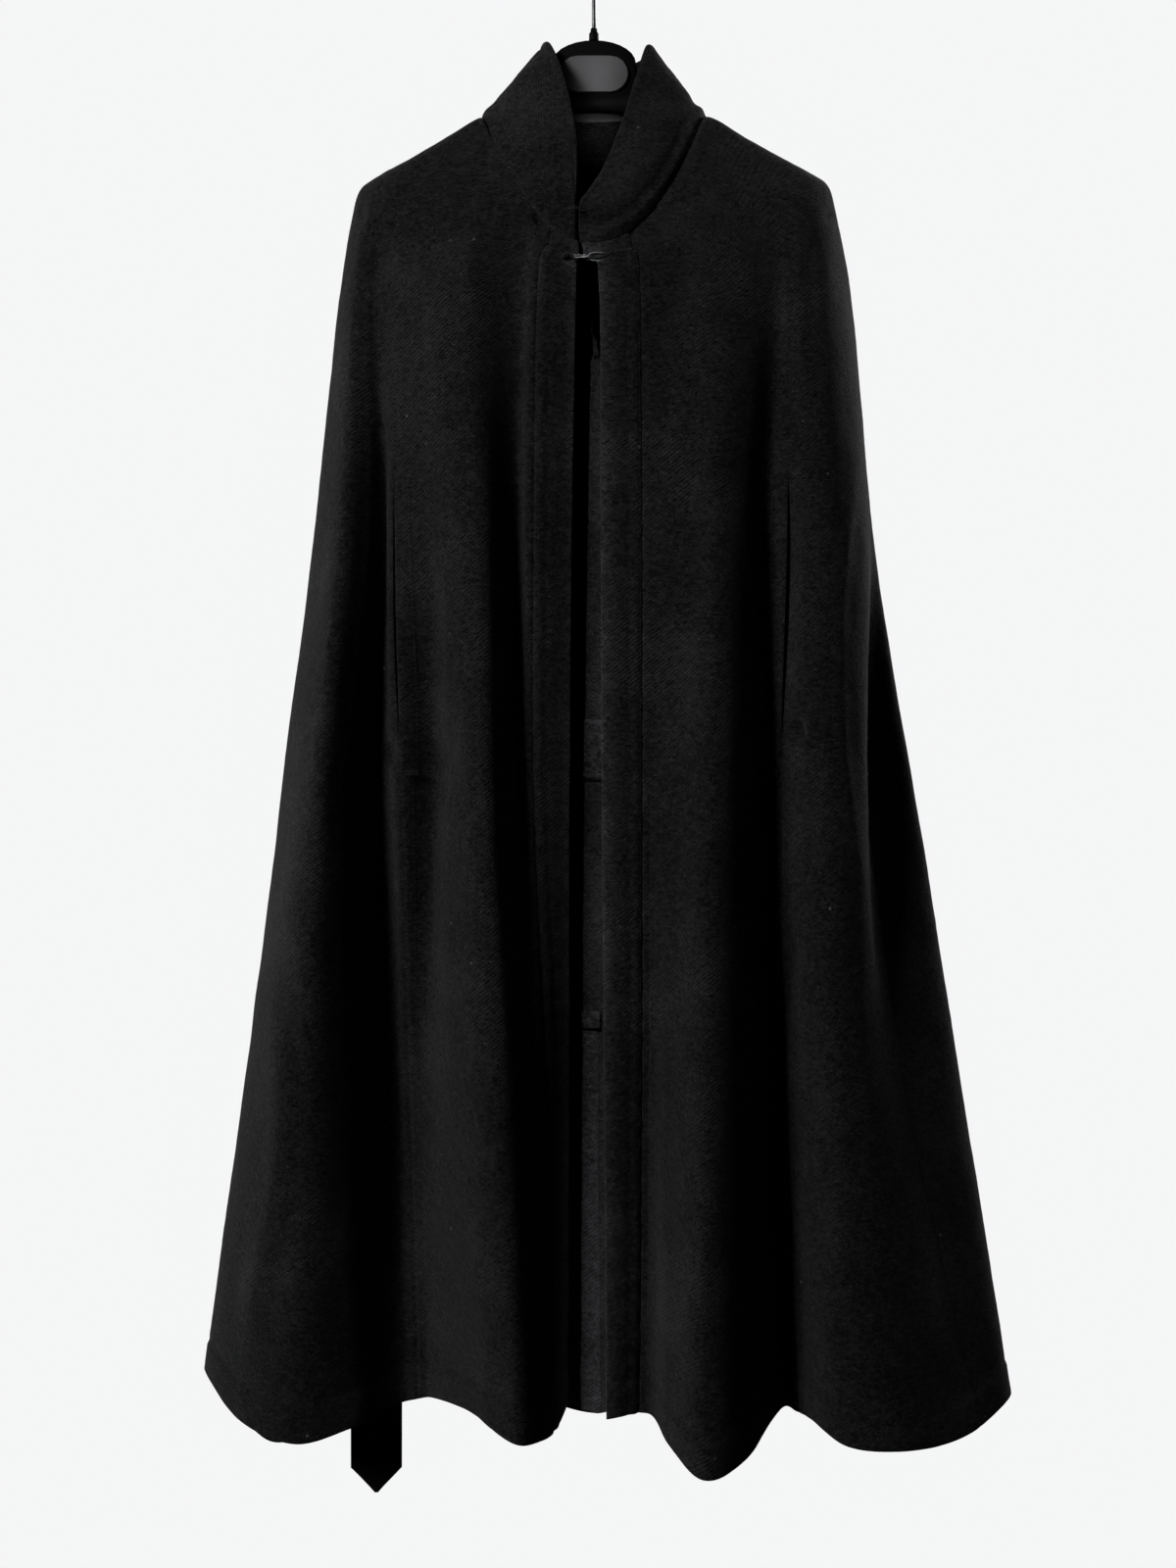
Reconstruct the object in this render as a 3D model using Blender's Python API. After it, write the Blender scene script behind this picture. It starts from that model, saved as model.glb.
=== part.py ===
"""Long wool cloak hung on a shaped hanger: six cut panels, plackets, funnel collar, belt and hanger.

Frame: metres, +Z up, +X to the viewer's right when the cloak is seen from the front, front at -Y.
The origin is the underside of the hook's crown, where a rail carries the hanger.
Right and left are the wearer's: the wearer's right is at -X.
The body of the cloak is one smooth surface round the hanger, described by a table of folds and cut into panels.
"""
import math
from collections import namedtuple

import bmesh
import bpy
from mathutils import Vector

MM = 0.001

# Cloth
CLOTH_THICK = 2.0 * MM  # one layer of milled wool
BAND_THICK = 3.1 * MM  # plackets, folded double
TRIM_THICK = 1.5 * MM  # welts, casing and underlap, pressed thin
BELT_THICK = 2.5 * MM
SEAM_GAP = 0.7 * MM  # between neighbouring panels
LAYER_GAP = 0.5 * MM  # between flat layers
FACET_GAP = 1.1 * MM  # between a panel's facets and what lies on them

# Neckline and shoulders
NECK_HALF_WIDTH = 102 * MM
NECK_FRONT_DEPTH = 60 * MM
NECK_BACK_DEPTH = 50 * MM
NECK_FRONT_Z = -294 * MM
NECK_BACK_Z = -184 * MM
NECK_POINT_Z = -164 * MM  # where neckline and shoulder seam meet
SHOULDER_SLOPE_RIGHT = 0.575  # fall of the shoulder seam for each unit outwards
SHOULDER_SLOPE_LEFT = 0.53
YOKE_DROP = 15 * MM  # how far below the top edge the yoke ring lies

# Heights of the rings that the fold table gives; the yoke and the hem follow each fold
CHEST_Z = -320 * MM
RIBS_Z = -538 * MM
WAIST_Z = -774 * MM
THIGH_Z = -1037 * MM

# A row for each fold, from the right front edge round the back to the left front edge, in millimetres:
# where its top lies along x, then (x, y) at each ring, then the height of the hem there.
Fold = namedtuple("Fold", "name top_x yoke chest ribs waist thigh hem hem_z")
FOLDS = (
    Fold("right_edge", -14, (-14, -63), (-16, -62), (-20, -66), (-22, -60), (-23, -50), (-25, -42), -1329),
    Fold("right_placket_seam", -38, (-40, -62), (-50, -66), (-54, -70), (-54, -68), (-43, -72), (-37, -78), -1345),
    Fold("right_placket_valley", -56, (-58, -57), (-73, -64), (-76, -58), (-72, -56), (-60, -96), (-49, -104), -1345),
    Fold("right_flute_crest", -78, (-80, -47), (-111, -70), (-102, -84), (-97, -98), (-79, -114), (-66, -122), -1342),
    Fold("right_flute_flank", -91, (-94, -36), (-124, -72), (-117, -86), (-112, -98), (-102, -110), (-90, -106), -1333),
    Fold("right_neck_point", -102, (-106, -24), (-137, -70), (-130, -80), (-126, -76), (-122, -86), (-110, -78), -1326),
    Fold("right_mid_valley", -134, (-136, -24), (-153, -64), (-147, -68), (-141, -54), (-145, -54), (-144, -38), -1327),
    Fold("right_arm_seam", -168, (-169, -24), (-177, -54), (-178, -52), (-174, -66), (-169, -44), (-160, -36), -1330),
    Fold("right_side_valley", -178, (-181, -23), (-195, -46), (-189, -36), (-203, -38), (-190, -40), (-177, -42), -1335),
    Fold("right_side_flank", -187, (-192, -21), (-204, -44), (-203, -52), (-221, -72), (-221, -74), (-212, -62), -1344),
    Fold("right_side_crest", -195, (-202, -17), (-215, -38), (-221, -62), (-243, -88), (-258, -96), (-262, -88), -1351),
    Fold("right_side_turn", -203, (-212, -10), (-225, -22), (-240, -42), (-266, -64), (-295, -66), (-315, -66), -1337),
    Fold("right_side_seam", -210, (-219, 0), (-231, 0), (-254, -4), (-283, -8), (-316, -8), (-354, -8), -1310),
    Fold("right_back_turn", -204, (-213, 10), (-222, 26), (-240, 40), (-262, 56), (-285, 60), (-306, 52), -1394),
    Fold("right_back_valley", -184, (-189, 23), (-196, 42), (-206, 48), (-218, 46), (-232, 40), (-244, 32), -1366),
    Fold("right_back_crest", -150, (-152, 24), (-158, 50), (-160, 64), (-165, 78), (-168, 88), (-172, 92), -1352),
    Fold("right_back_hollow", -102, (-106, 24), (-118, 54), (-114, 58), (-110, 56), (-106, 50), (-104, 42), -1354),
    Fold("right_spine_crest", -56, (-58, 47), (-62, 56), (-60, 68), (-58, 80), (-56, 88), (-54, 94), -1368),
    Fold("centre_back_seam", 0, (0, 53), (0, 54), (0, 60), (0, 62), (1, 62), (4, 60), -1370),
    Fold("left_spine_crest", 54, (56, 47), (56, 56), (54, 70), (52, 82), (50, 90), (52, 92), -1366),
    Fold("left_back_hollow", 102, (106, 24), (106, 54), (106, 56), (104, 52), (106, 46), (110, 38), -1368),
    Fold("left_back_crest", 144, (147, 24), (150, 50), (152, 66), (158, 80), (166, 88), (176, 90), -1360),
    Fold("left_back_valley", 178, (182, 23), (190, 42), (198, 50), (212, 50), (226, 42), (246, 34), -1366),
    Fold("left_back_turn", 197, (204, 17), (218, 32), (236, 42), (262, 62), (292, 70), (326, 72), -1376),
    Fold("left_outer_crest", 205, (213, 9), (233, 14), (255, 16), (296, 24), (336, 10), (381, -2), -1332),
    Fold("left_side_seam", 210, (219, 0), (234, 0), (253, 0), (249, -8), (279, -36), (347, -42), -1351),
    Fold("left_side_ridge", 203, (212, -10), (226, -18), (245, -26), (244, -44), (253, -60), (306, -68), -1360),
    Fold("left_side_crest", 195, (202, -17), (212, -36), (224, -50), (226, -64), (234, -72), (257, -88), -1359),
    Fold("left_side_turn", 187, (192, -21), (200, -46), (206, -60), (207, -72), (211, -76), (220, -82), -1355),
    Fold("left_arm_ridge", 178, (181, -23), (186, -52), (187, -60), (188, -66), (192, -62), (196, -56), -1341),
    Fold("left_arm_seam", 168, (169, -24), (174, -50), (173, -52), (168, -46), (171, -40), (186, -36), -1340),
    Fold("left_mid_valley", 140, (142, -24), (161, -48), (152, -44), (152, -38), (157, -34), (172, -30), -1339),
    Fold("left_neck_point", 102, (106, -24), (136, -58), (131, -70), (117, -84), (115, -92), (126, -100), -1362),
    Fold("left_flute_crest", 86, (90, -41), (112, -64), (107, -84), (95, -104), (89, -118), (94, -132), -1369),
    Fold("left_flute_flank", 66, (69, -52), (82, -66), (83, -76), (74, -84), (67, -88), (66, -98), -1350),
    Fold("left_placket_valley", 47, (49, -59), (54, -66), (61, -66), (54, -70), (51, -64), (54, -64), -1336),
    Fold("left_placket_seam", 33, (34, -63), (41, -66), (43, -70), (43, -72), (43, -66), (41, -58), -1334),
    Fold("left_edge", -11, (-8, -64), (4, -62), (6, -70), (7, -73), (9, -73), (11, -70), -1336),
)
FOLD_AT = {fold.name: index for index, fold in enumerate(FOLDS)}
TOP, YOKE, CHEST, RIBS, WAIST, THIGH, HEM = range(7)
STATION_KNOTS = (0.0, 0.03, 0.13, 0.32, 0.53, 0.76, 1.0)  # share of the cloth's length at each ring
COLUMNS_PER_FOLD = 2
ROWS = (0, 0.45, 1, 1.4, 1.7, 2, 2.35, 2.7, 3, 3.33, 3.67, 4, 4.33, 4.67, 5, 5.33, 5.67, 6)

# Arm slits, in the seams between the front and side panels
SLIT_TOP_Z = -500 * MM
SLIT_BOTTOM_Z = -735 * MM
SLIT_OPEN_BACK = 11 * MM  # how far the side panel's edge stands back inside the slit
SLIT_OPEN_OUT = 10 * MM
WELT_TOP_Z = -494 * MM
WELT_BOTTOM_Z = -764 * MM
WELT_GAP = 2.0 * MM  # below a welt, where the panel's facets twist most
WELT_FOLDS = 0.5  # width of a welt as a share of the fold beside the arm seam

# Collar: a row for each station of its top edge, from the right front end round the back, in millimetres.
# turn is the angle of its foot round the neckline, in degrees from the centre front by the wearer's right.
CollarStation = namedtuple("CollarStation", "turn top bulge")
COLLAR = (
    CollarStation(8.7, (-15.5, -64, -256), 2),
    CollarStation(24, (-14.5, -57, -205), 4),
    CollarStation(42, (-20, -47, -166), 6),
    CollarStation(62, (-29, -30, -127), 4),
    CollarStation(80, (-40, -12, -98), 1),
    CollarStation(98, (-43, 6, -99), 0),
    CollarStation(135, (-28, 31, -102), 5),
    CollarStation(180, (2, 38, -104), 5),
    CollarStation(225, (33, 31, -103), 5),
    CollarStation(262, (50, 6, -102), 0),
    CollarStation(280, (47, -12, -101), 1),
    CollarStation(298, (37, -28, -136), 4),
    CollarStation(318, (25, -42, -178), 7),
    CollarStation(340, (9, -55, -220), 5),
    CollarStation(354, (-5, -62, -243), 3),
    CollarStation(367.3, (-13, -65, -254), 2),
)
COLLAR_LAYER = 2.0 * MM
COLLAR_LIFT = 3.0 * MM  # the collar's foot stands this far up from the neckline
COLLAR_RISES = (0.0, 0.25, 0.5, 0.75, 1.0)

# Waist casing, belt and vent
CASING_TOP_Z = -713 * MM
CASING_BOTTOM_Z = -771 * MM
CASING_EDGE = 5 * MM  # width of its sewn borders
BELT_WIDTH = 47 * MM
BELT_TAIL_X = 200.5 * MM  # middle of each hanging end
BELT_FOLD_RADIUS = 3 * MM
BELT_POINT = 24 * MM
BELT_RIGHT_TIP_Z = -1428 * MM
BELT_LEFT_TIP_Z = -1296 * MM
VENT_TOP_Z = -1005 * MM
VENT_BAR_HEIGHT = 15 * MM

# Label and hanging loop at the back neck
LABEL_SIZE = (62 * MM, 12 * MM)
LABEL_Z = -146 * MM
LOOP_SIZE = (84 * MM, 7 * MM)
LOOP_Z = -188 * MM

# Hanger
WIRE_RADIUS = 1.8 * MM
HOOK_RADIUS = 20 * MM  # to the middle of the wire
STEM_TOP_Z = -56 * MM
PLATE_HALF_WIDTH = 38.5 * MM
PLATE_TOP_Z = -92 * MM
PLATE_SHOULDER_Z = -113 * MM
PLATE_FOOT_Z = -160 * MM
PLATE_THICK = 9 * MM
ARM_REACH = 203 * MM
ARM_CLEARANCE = 6 * MM  # below the cloth's shoulder ridge
ARM_MIDDLE_Z = -150 * MM
PLAQUE_SIZE = (63 * MM, 33 * MM)
PLAQUE_Z = -124 * MM
PLAQUE_THICK = 3 * MM
FERRULE_HEIGHT = 11 * MM

# Hooks and eyes
CLASP_WIRE = 0.55 * MM
CLASP_LEG = 1.5 * MM  # between a hook's leg and the eye that it holds
LOWER_CLASP = Vector((-5 * MM, -68.5 * MM, -307 * MM))
UPPER_CLASP = Vector((-14.3 * MM, -69 * MM, -264 * MM))


def spline(points, knots, t):
    """A point at t on the smooth curve that passes each point at its knot."""
    last = len(points) - 1
    span = 0
    while span < last - 1 and t > knots[span + 1]:
        span += 1

    def slope(i):
        low, high = max(i - 1, 0), min(i + 1, last)
        return (points[high] - points[low]) / (knots[high] - knots[low])

    width = knots[span + 1] - knots[span]
    s = (t - knots[span]) / width
    start, end = points[span], points[span + 1]
    return (
        start * (2 * s**3 - 3 * s**2 + 1)
        + slope(span) * (width * (s**3 - 2 * s**2 + s))
        + end * (3 * s**2 - 2 * s**3)
        + slope(span + 1) * (width * (s**3 - s**2))
    )


def shoulder_slope(x):
    return SHOULDER_SLOPE_RIGHT if x < 0 else SHOULDER_SLOPE_LEFT


def top_point(x, front):
    """A point of the cloak's top edge: on the neckline near the middle, on the shoulder seam further out."""
    share = abs(x) / NECK_HALF_WIDTH
    if share >= 1:
        return Vector((x, 0, NECK_POINT_Z - (abs(x) - NECK_HALF_WIDTH) * shoulder_slope(x)))
    curve = math.sqrt(1 - share * share)
    if front:
        return Vector((x, -NECK_FRONT_DEPTH * curve, NECK_FRONT_Z + (NECK_POINT_Z - NECK_FRONT_Z) * share**2))
    return Vector((x, NECK_BACK_DEPTH * curve, NECK_BACK_Z + (NECK_POINT_Z - NECK_BACK_Z) * share**2))


def is_front(index):
    return not FOLD_AT["right_side_seam"] < index < FOLD_AT["left_side_seam"]


def fold_path(index):
    """The seven points down one fold, from the top edge to the hem."""
    fold = FOLDS[index]
    top = top_point(fold.top_x * MM, is_front(index))
    heights = (top.z - YOKE_DROP, CHEST_Z, RIBS_Z, WAIST_Z, THIGH_Z, fold.hem_z * MM)
    rings = (fold.yoke, fold.chest, fold.ribs, fold.waist, fold.thigh, fold.hem)
    return [top] + [Vector((x * MM, y * MM, z)) for (x, y), z in zip(rings, heights)]


PATHS = [fold_path(index) for index in range(len(FOLDS))]
FOLD_KNOTS = list(range(len(FOLDS)))


def station_knot(v):
    """The knot for a row number such as 2.5, halfway between the chest ring and the rib ring."""
    low = min(int(v), HEM - 1)
    return STATION_KNOTS[low] + (v - low) * (STATION_KNOTS[low + 1] - STATION_KNOTS[low])


def surface(u, v):
    """The middle of the cloth at fold number u and row number v."""
    near = range(max(int(u) - 2, 0), min(int(u) + 4, len(FOLDS)))
    if v <= 0:
        top_x = spline([Vector((FOLDS[k].top_x * MM, 0, 0)) for k in near], list(near), u).x
        return top_point(top_x, is_front(int(u)) and is_front(math.ceil(u)))
    knot = station_knot(v)
    return spline([spline(PATHS[k], STATION_KNOTS, knot) for k in near], list(near), u)


def surface_frame(u, v):
    """Two directions at a point of the cloth: along it towards higher fold numbers, and outwards."""
    step = 0.04
    across = surface(min(u + step, len(FOLDS) - 1), v) - surface(max(u - step, 0), v)
    down = surface(u, min(v + step, HEM)) - surface(u, max(v - step, 0))
    top_x = surface(u, 0).x
    if v <= 0 and abs(top_x) >= NECK_HALF_WIDTH - 0.5 * MM:
        front = is_front(int(u)) and is_front(math.ceil(u))
        down = Vector((0, -1 if front else 1, 0))  # the cloth lies level over the shoulder ridge
        if abs(top_x) > 209 * MM:
            across = Vector((0, math.copysign(1, -top_x), 0))
            down = Vector((math.copysign(1, top_x), 0, -shoulder_slope(top_x)))
    return across.normalized(), across.cross(down).normalized()


def facet_frame(u, v):
    """The middle of the cloth and its outward direction, on the flat facets that the panels are built from."""
    left = min(int(u * COLUMNS_PER_FOLD) / COLUMNS_PER_FOLD, len(FOLDS) - 1 - 1 / COLUMNS_PER_FOLD)
    right = left + 1 / COLUMNS_PER_FOLD
    high = max(row for row in ROWS[:-1] if row <= v)
    low = min(row for row in ROWS if row > high)
    s, t = (u - left) * COLUMNS_PER_FOLD, (v - high) / (low - high)
    point, normal = Vector(), Vector()
    for column, row, share in (
        (left, high, (1 - s) * (1 - t)), (right, high, s * (1 - t)), (left, low, (1 - s) * t), (right, low, s * t),
    ):
        point += surface(column, row) * share
        normal += surface_frame(column, row)[1] * share
    return point, normal


def row_at_height(u, z):
    """The row number at which fold number u passes the height z."""
    low, high = float(YOKE), float(HEM)
    for _ in range(30):
        middle = (low + high) / 2
        if surface(u, middle).z > z:
            low = middle
        else:
            high = middle
    return (low + high) / 2


def material(name, colour, roughness, metallic=0.0):
    made = bpy.data.materials.new(name)
    made.use_nodes = True
    shader = made.node_tree.nodes["Principled BSDF"]
    shader.inputs["Base Color"].default_value = (*colour, 1)
    shader.inputs["Roughness"].default_value = roughness
    shader.inputs["Metallic"].default_value = metallic
    return made


def add_object(name, bm, finish, smooth=True):
    """Turns a bmesh into a named object with its faces pointing out."""
    bmesh.ops.recalc_face_normals(bm, faces=bm.faces)
    mesh = bpy.data.meshes.new(name)
    bm.to_mesh(mesh)
    bm.free()
    mesh.materials.append(finish)
    if smooth:
        mesh.shade_smooth()
        mesh.set_sharp_from_angle(angle=math.radians(40))
    made = bpy.data.objects.new(name, mesh)
    bpy.context.scene.collection.objects.link(made)
    return made


def wall(name, columns, rows, middle, normal, thickness, finish):
    """A closed wall of cloth: middle(i, j) and normal(i, j) give its middle surface at column i and row j."""
    bm = bmesh.new()
    bmesh.ops.create_grid(bm, x_segments=columns, y_segments=rows, size=1)
    place = {}
    for vert in bm.verts:
        i = round((vert.co.x + 1) / 2 * columns)
        j = round((vert.co.y + 1) / 2 * rows)
        place[vert] = (middle(i, j), normal(i, j) * (thickness / 2))
    outer = list(place)
    made = bmesh.ops.extrude_face_region(bm, geom=bm.faces[:], use_keep_orig=True)
    inner = [item for item in made["geom"] if isinstance(item, bmesh.types.BMVert)]
    partner = {tuple(vert.co): place[vert] for vert in outer}
    inner_places = [(vert, partner[tuple(vert.co)]) for vert in inner]
    for vert, (point, offset) in place.items():
        vert.co = point + offset
    for vert, (point, offset) in inner_places:
        vert.co = point - offset
    return add_object(name, bm, finish)


def columns_between(first, last):
    """Fold numbers of the columns from one fold to another, ends included."""
    count = round((last - first) * COLUMNS_PER_FOLD)
    return [first + k / COLUMNS_PER_FOLD for k in range(count + 1)]


def slit_share(z):
    """0 outside the arm slit and 1 at its widest."""
    if not SLIT_BOTTOM_Z < z < SLIT_TOP_Z:
        return 0.0
    return math.sin(math.pi * (z - SLIT_BOTTOM_Z) / (SLIT_TOP_Z - SLIT_BOTTOM_Z)) ** 0.6


def panel(name, first, last, finish, thickness=CLOTH_THICK, slit_side=None):
    """A cut panel between two folds. slit_side is 0 or -1 where that edge stands back inside an arm slit."""
    us = columns_between(first, last)
    outward = 1 if us[0] > FOLD_AT["centre_back_seam"] else -1
    points = [[surface(u, v) for v in ROWS] for u in us]
    frames = [[surface_frame(u, v) for v in ROWS] for u in us]
    for edge, way in ((0, 1), (-1, -1)):
        for j in range(len(ROWS)):
            points[edge][j] += frames[edge][j][0] * (way * SEAM_GAP / 2)
            if slit_side == edge:
                stand = Vector((outward * SLIT_OPEN_OUT, SLIT_OPEN_BACK, 0)) * slit_share(points[edge][j].z)
                points[edge][j] += stand
                points[edge + way][j] += stand * 0.4
    for column, frame in zip(points, frames):
        column[0] += frame[0][1].cross(frame[0][0]) * (SEAM_GAP / 2)
    return wall(
        name, len(us) - 1, len(ROWS) - 1,
        lambda i, j: points[i][j], lambda i, j: frames[i][j][1], thickness, finish,
    )


def overlay(name, us, top_v, bottom_v, offset, thickness, finish, extra_rows=()):
    """A strip that lies along the cloth between two rows. offset(share) is its distance outside the middle."""
    vs = [top_v] + sorted([v for v in ROWS if top_v + 0.03 < v < bottom_v - 0.03] + list(extra_rows)) + [bottom_v]
    grid = [[facet_frame(u, v) for v in vs] for u in us]
    offsets = [offset((v - top_v) / (bottom_v - top_v)) for v in vs]
    wall(
        name, len(us) - 1, len(vs) - 1,
        lambda i, j: grid[i][j][0] + grid[i][j][1] * offsets[j],
        lambda i, j: grid[i][j][1], thickness, finish,
    )


def body_panels(wool):
    """The six cut panels and the two plackets, between their seams in the fold table."""
    at = FOLD_AT
    panel("placket_right", at["right_edge"], at["right_placket_seam"], wool, BAND_THICK)
    panel("front_right", at["right_placket_seam"], at["right_arm_seam"], wool)
    panel("side_right", at["right_arm_seam"], at["right_side_seam"], wool, slit_side=0)
    panel("back_right", at["right_side_seam"], at["centre_back_seam"], wool)
    panel("back_left", at["centre_back_seam"], at["left_side_seam"], wool)
    panel("side_left", at["left_side_seam"], at["left_arm_seam"], wool, slit_side=-1)
    panel("front_left", at["left_arm_seam"], at["left_placket_seam"], wool)
    panel("placket_left", at["left_placket_seam"], at["left_edge"], wool, BAND_THICK)


def arm_welts(wool):
    """A pressed welt along the front panel's edge of each arm slit."""
    lie = CLOTH_THICK / 2 + WELT_GAP + TRIM_THICK / 2
    edge = 0.06  # the welt stops just short of the seam
    right, left = FOLD_AT["right_arm_seam"], FOLD_AT["left_arm_seam"]
    for name, start, way in (("arm_welt_right", right, -1), ("arm_welt_left", left, 1)):
        us = sorted(start + way * share for share in (edge, 0.28, WELT_FOLDS))
        top, bottom = row_at_height(start, WELT_TOP_Z), row_at_height(start, WELT_BOTTOM_Z)
        overlay(name, us, top, bottom, lambda share: lie, TRIM_THICK, wool)


def neckline(turn):
    """A point of the neckline at an angle from the centre front, measured by the wearer's right."""
    angle = math.radians(turn)
    x = -NECK_HALF_WIDTH * math.sin(angle)
    return top_point(max(-NECK_HALF_WIDTH * 0.99999, min(NECK_HALF_WIDTH * 0.99999, x)), math.cos(angle) > 0)


def collar_point(t, rise):
    """The middle of the collar at station number t, from its foot (rise 0) to its top edge (rise 1)."""
    numbers = list(range(len(COLLAR)))
    turn = spline([Vector((row.turn, row.bulge, 0)) for row in COLLAR], numbers, t)
    top = spline([Vector(row.top) * MM for row in COLLAR], numbers, t)
    foot = neckline(turn.x)
    foot = foot + (top - foot).normalized() * COLLAR_LIFT
    out = Vector((foot.x + top.x, foot.y + top.y, 0)).normalized()
    return foot.lerp(top, rise) + out * (turn.y * MM * math.sin(math.pi * rise))


def collar_normal(t, rise):
    step = 0.05
    last = len(COLLAR) - 1
    across = collar_point(min(t + step, last), rise) - collar_point(max(t - step, 0), rise)
    up = collar_point(t, min(rise + step, 1)) - collar_point(t, max(rise - step, 0))
    return up.cross(across).normalized()


def collar(wool):
    """The funnel collar: an outer layer and a facing inside it."""
    count = (len(COLLAR) - 1) * 2
    shift = (COLLAR_LAYER + LAYER_GAP) / 2
    for name, side in (("collar", 1), ("collar_facing", -1)):
        wall(
            name, count, len(COLLAR_RISES) - 1,
            lambda i, j: collar_point(i / 2, COLLAR_RISES[j])
            + collar_normal(i / 2, COLLAR_RISES[j]) * (shift * side),
            lambda i, j: collar_normal(i / 2, COLLAR_RISES[j]), COLLAR_LAYER, wool,
        )


def back_neck_strip(name, size, z, surface_y, thickness, finish):
    """A small strip across the inside of the back neck."""
    width, height = size
    wall(
        name, 6, 1,
        lambda i, j: Vector(((i / 6 - 0.5) * width, surface_y((i / 6 - 0.5) * width), z + (0.5 - j) * height)),
        lambda i, j: Vector((0, 1, 0)), thickness, finish,
    )


def label_and_loop(satin, wool):
    """A blank woven label on the collar's facing, and the tape loop across the back neck seam."""
    back = (len(COLLAR) - 1) / 2 - 0.5  # station number of the centre back
    rise = (LABEL_Z - NECK_BACK_Z) / (-104 * MM - NECK_BACK_Z)
    face_y = collar_point(back, rise).y - COLLAR_LAYER - LAYER_GAP * 2 - 1.5 * MM
    bow = 5.5  # how strongly the strips curve with the neck, in 1/m
    back_neck_strip("neck_label", LABEL_SIZE, LABEL_Z, lambda x: face_y - bow * x * x, 0.8 * MM, satin)
    loop_y = NECK_BACK_DEPTH - 5.5 * MM
    back_neck_strip("hang_loop", LOOP_SIZE, LOOP_Z, lambda x: loop_y - bow * x * x, 1.4 * MM, wool)


def casing_offset(share):
    """Distance of the casing's middle inside the cloth's: flat borders, and room for the belt between them."""
    border = CASING_EDGE / (CASING_TOP_Z - CASING_BOTTOM_Z)
    flat = CLOTH_THICK / 2 + FACET_GAP + TRIM_THICK / 2
    raised = CLOTH_THICK / 2 + FACET_GAP + BELT_THICK + LAYER_GAP + TRIM_THICK / 2
    rise = min(share / border, (1 - share) / border, 1)
    return -(flat + (raised - flat) * rise)


def waist_casing(wool):
    """The casing across the inside of the back, through which the belt runs."""
    us = columns_between(FOLD_AT["right_back_crest"], FOLD_AT["left_back_crest"])
    seam = FOLD_AT["centre_back_seam"]
    top, bottom = row_at_height(seam, CASING_TOP_Z), row_at_height(seam, CASING_BOTTOM_Z)
    border = (bottom - top) * CASING_EDGE / (CASING_TOP_Z - CASING_BOTTOM_Z)
    middle = (top + bottom) / 2
    overlay(
        "waist_casing", us, top, bottom, casing_offset, TRIM_THICK, wool,
        extra_rows=(top + border, middle, bottom - border),
    )


def belt_rungs():
    """Pairs of points on the belt's upper and lower edge, from the right tip through the casing to the left tip."""
    high, low = WAIST_BELT_Z + BELT_WIDTH / 2, WAIST_BELT_Z - BELT_WIDTH / 2
    lie = -(CLOTH_THICK / 2 + FACET_GAP + BELT_THICK / 2)
    waist = []
    for u in columns_between(FOLD_AT["right_back_crest"] - 0.5, FOLD_AT["left_back_crest"] + 0.5):
        pair = []
        for z in (high, low):
            point, normal = facet_frame(u, row_at_height(u, z))
            pair.append(point + normal * lie)
        waist.append(tuple(pair))
    return hanging_end(-1, BELT_RIGHT_TIP_Z, high, low)[::-1] + waist + hanging_end(1, BELT_LEFT_TIP_Z, high, low)


def hanging_end(side, tip_z, high, low):
    """The rungs of one loose end: out of the casing, folded over its diagonal, then straight down to the tip."""
    near_x, far_x = side * (BELT_TAIL_X - BELT_WIDTH / 2), side * (BELT_TAIL_X + BELT_WIDTH / 2)
    near_y, far_y = 60 * MM, 38 * MM  # the belt leaves the back and comes inwards
    hang_y = 8 * MM
    up_out = Vector((side, 0, 1)).normalized() * BELT_FOLD_RADIUS
    through = Vector((0, -BELT_FOLD_RADIUS, 0))
    upper, lower = Vector((near_x, near_y, high)), Vector((far_x, far_y, low))
    rungs = [(upper, Vector((near_x, near_y, low))), (upper, lower)]
    for angle in (45, 90, 135, 180):
        bend = up_out * math.sin(math.radians(angle)) + through * (1 - math.cos(math.radians(angle)))
        rungs.append((upper + bend, lower + bend))
    after = 2 * through
    rungs.append((Vector((near_x, near_y - 12 * MM, low)) + after, lower + after - Vector((0, 5 * MM, 6 * MM))))
    square_z = tip_z + BELT_POINT
    for share in (0.12, 0.25, 0.4, 0.6, 0.8, 1.0):
        z = low + (square_z - low) * share
        ease = math.exp(-6 * share)
        rungs.append((
            Vector((near_x, hang_y + (near_y - hang_y) * 0.45 * ease, z)),
            Vector((far_x, hang_y + (far_y - hang_y) * 0.45 * ease, z)),
        ))
    for share in (0.5, 0.97):
        half = BELT_WIDTH / 2 * (1 - share)
        z = square_z - BELT_POINT * share
        rungs.append((
            Vector((side * (BELT_TAIL_X - half), hang_y, z)),
            Vector((side * (BELT_TAIL_X + half), hang_y, z)),
        ))
    return rungs


def belt(wool):
    """One long belt: through the casing at the back waist, with a pointed end hanging inside each front."""
    rungs = belt_rungs()
    across = 4
    grid = [[upper.lerp(lower, j / across) for j in range(across + 1)] for upper, lower in rungs]
    last = len(grid) - 1

    def normal(i, j):
        along = grid[min(i + 1, last)][j] - grid[max(i - 1, 0)][j]
        width = grid[i][across] - grid[i][0]
        return along.cross(width).normalized()

    wall("belt", last, across, lambda i, j: grid[i][j], normal, BELT_THICK, wool)


WAIST_BELT_Z = (CASING_TOP_Z + CASING_BOTTOM_Z) / 2


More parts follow.
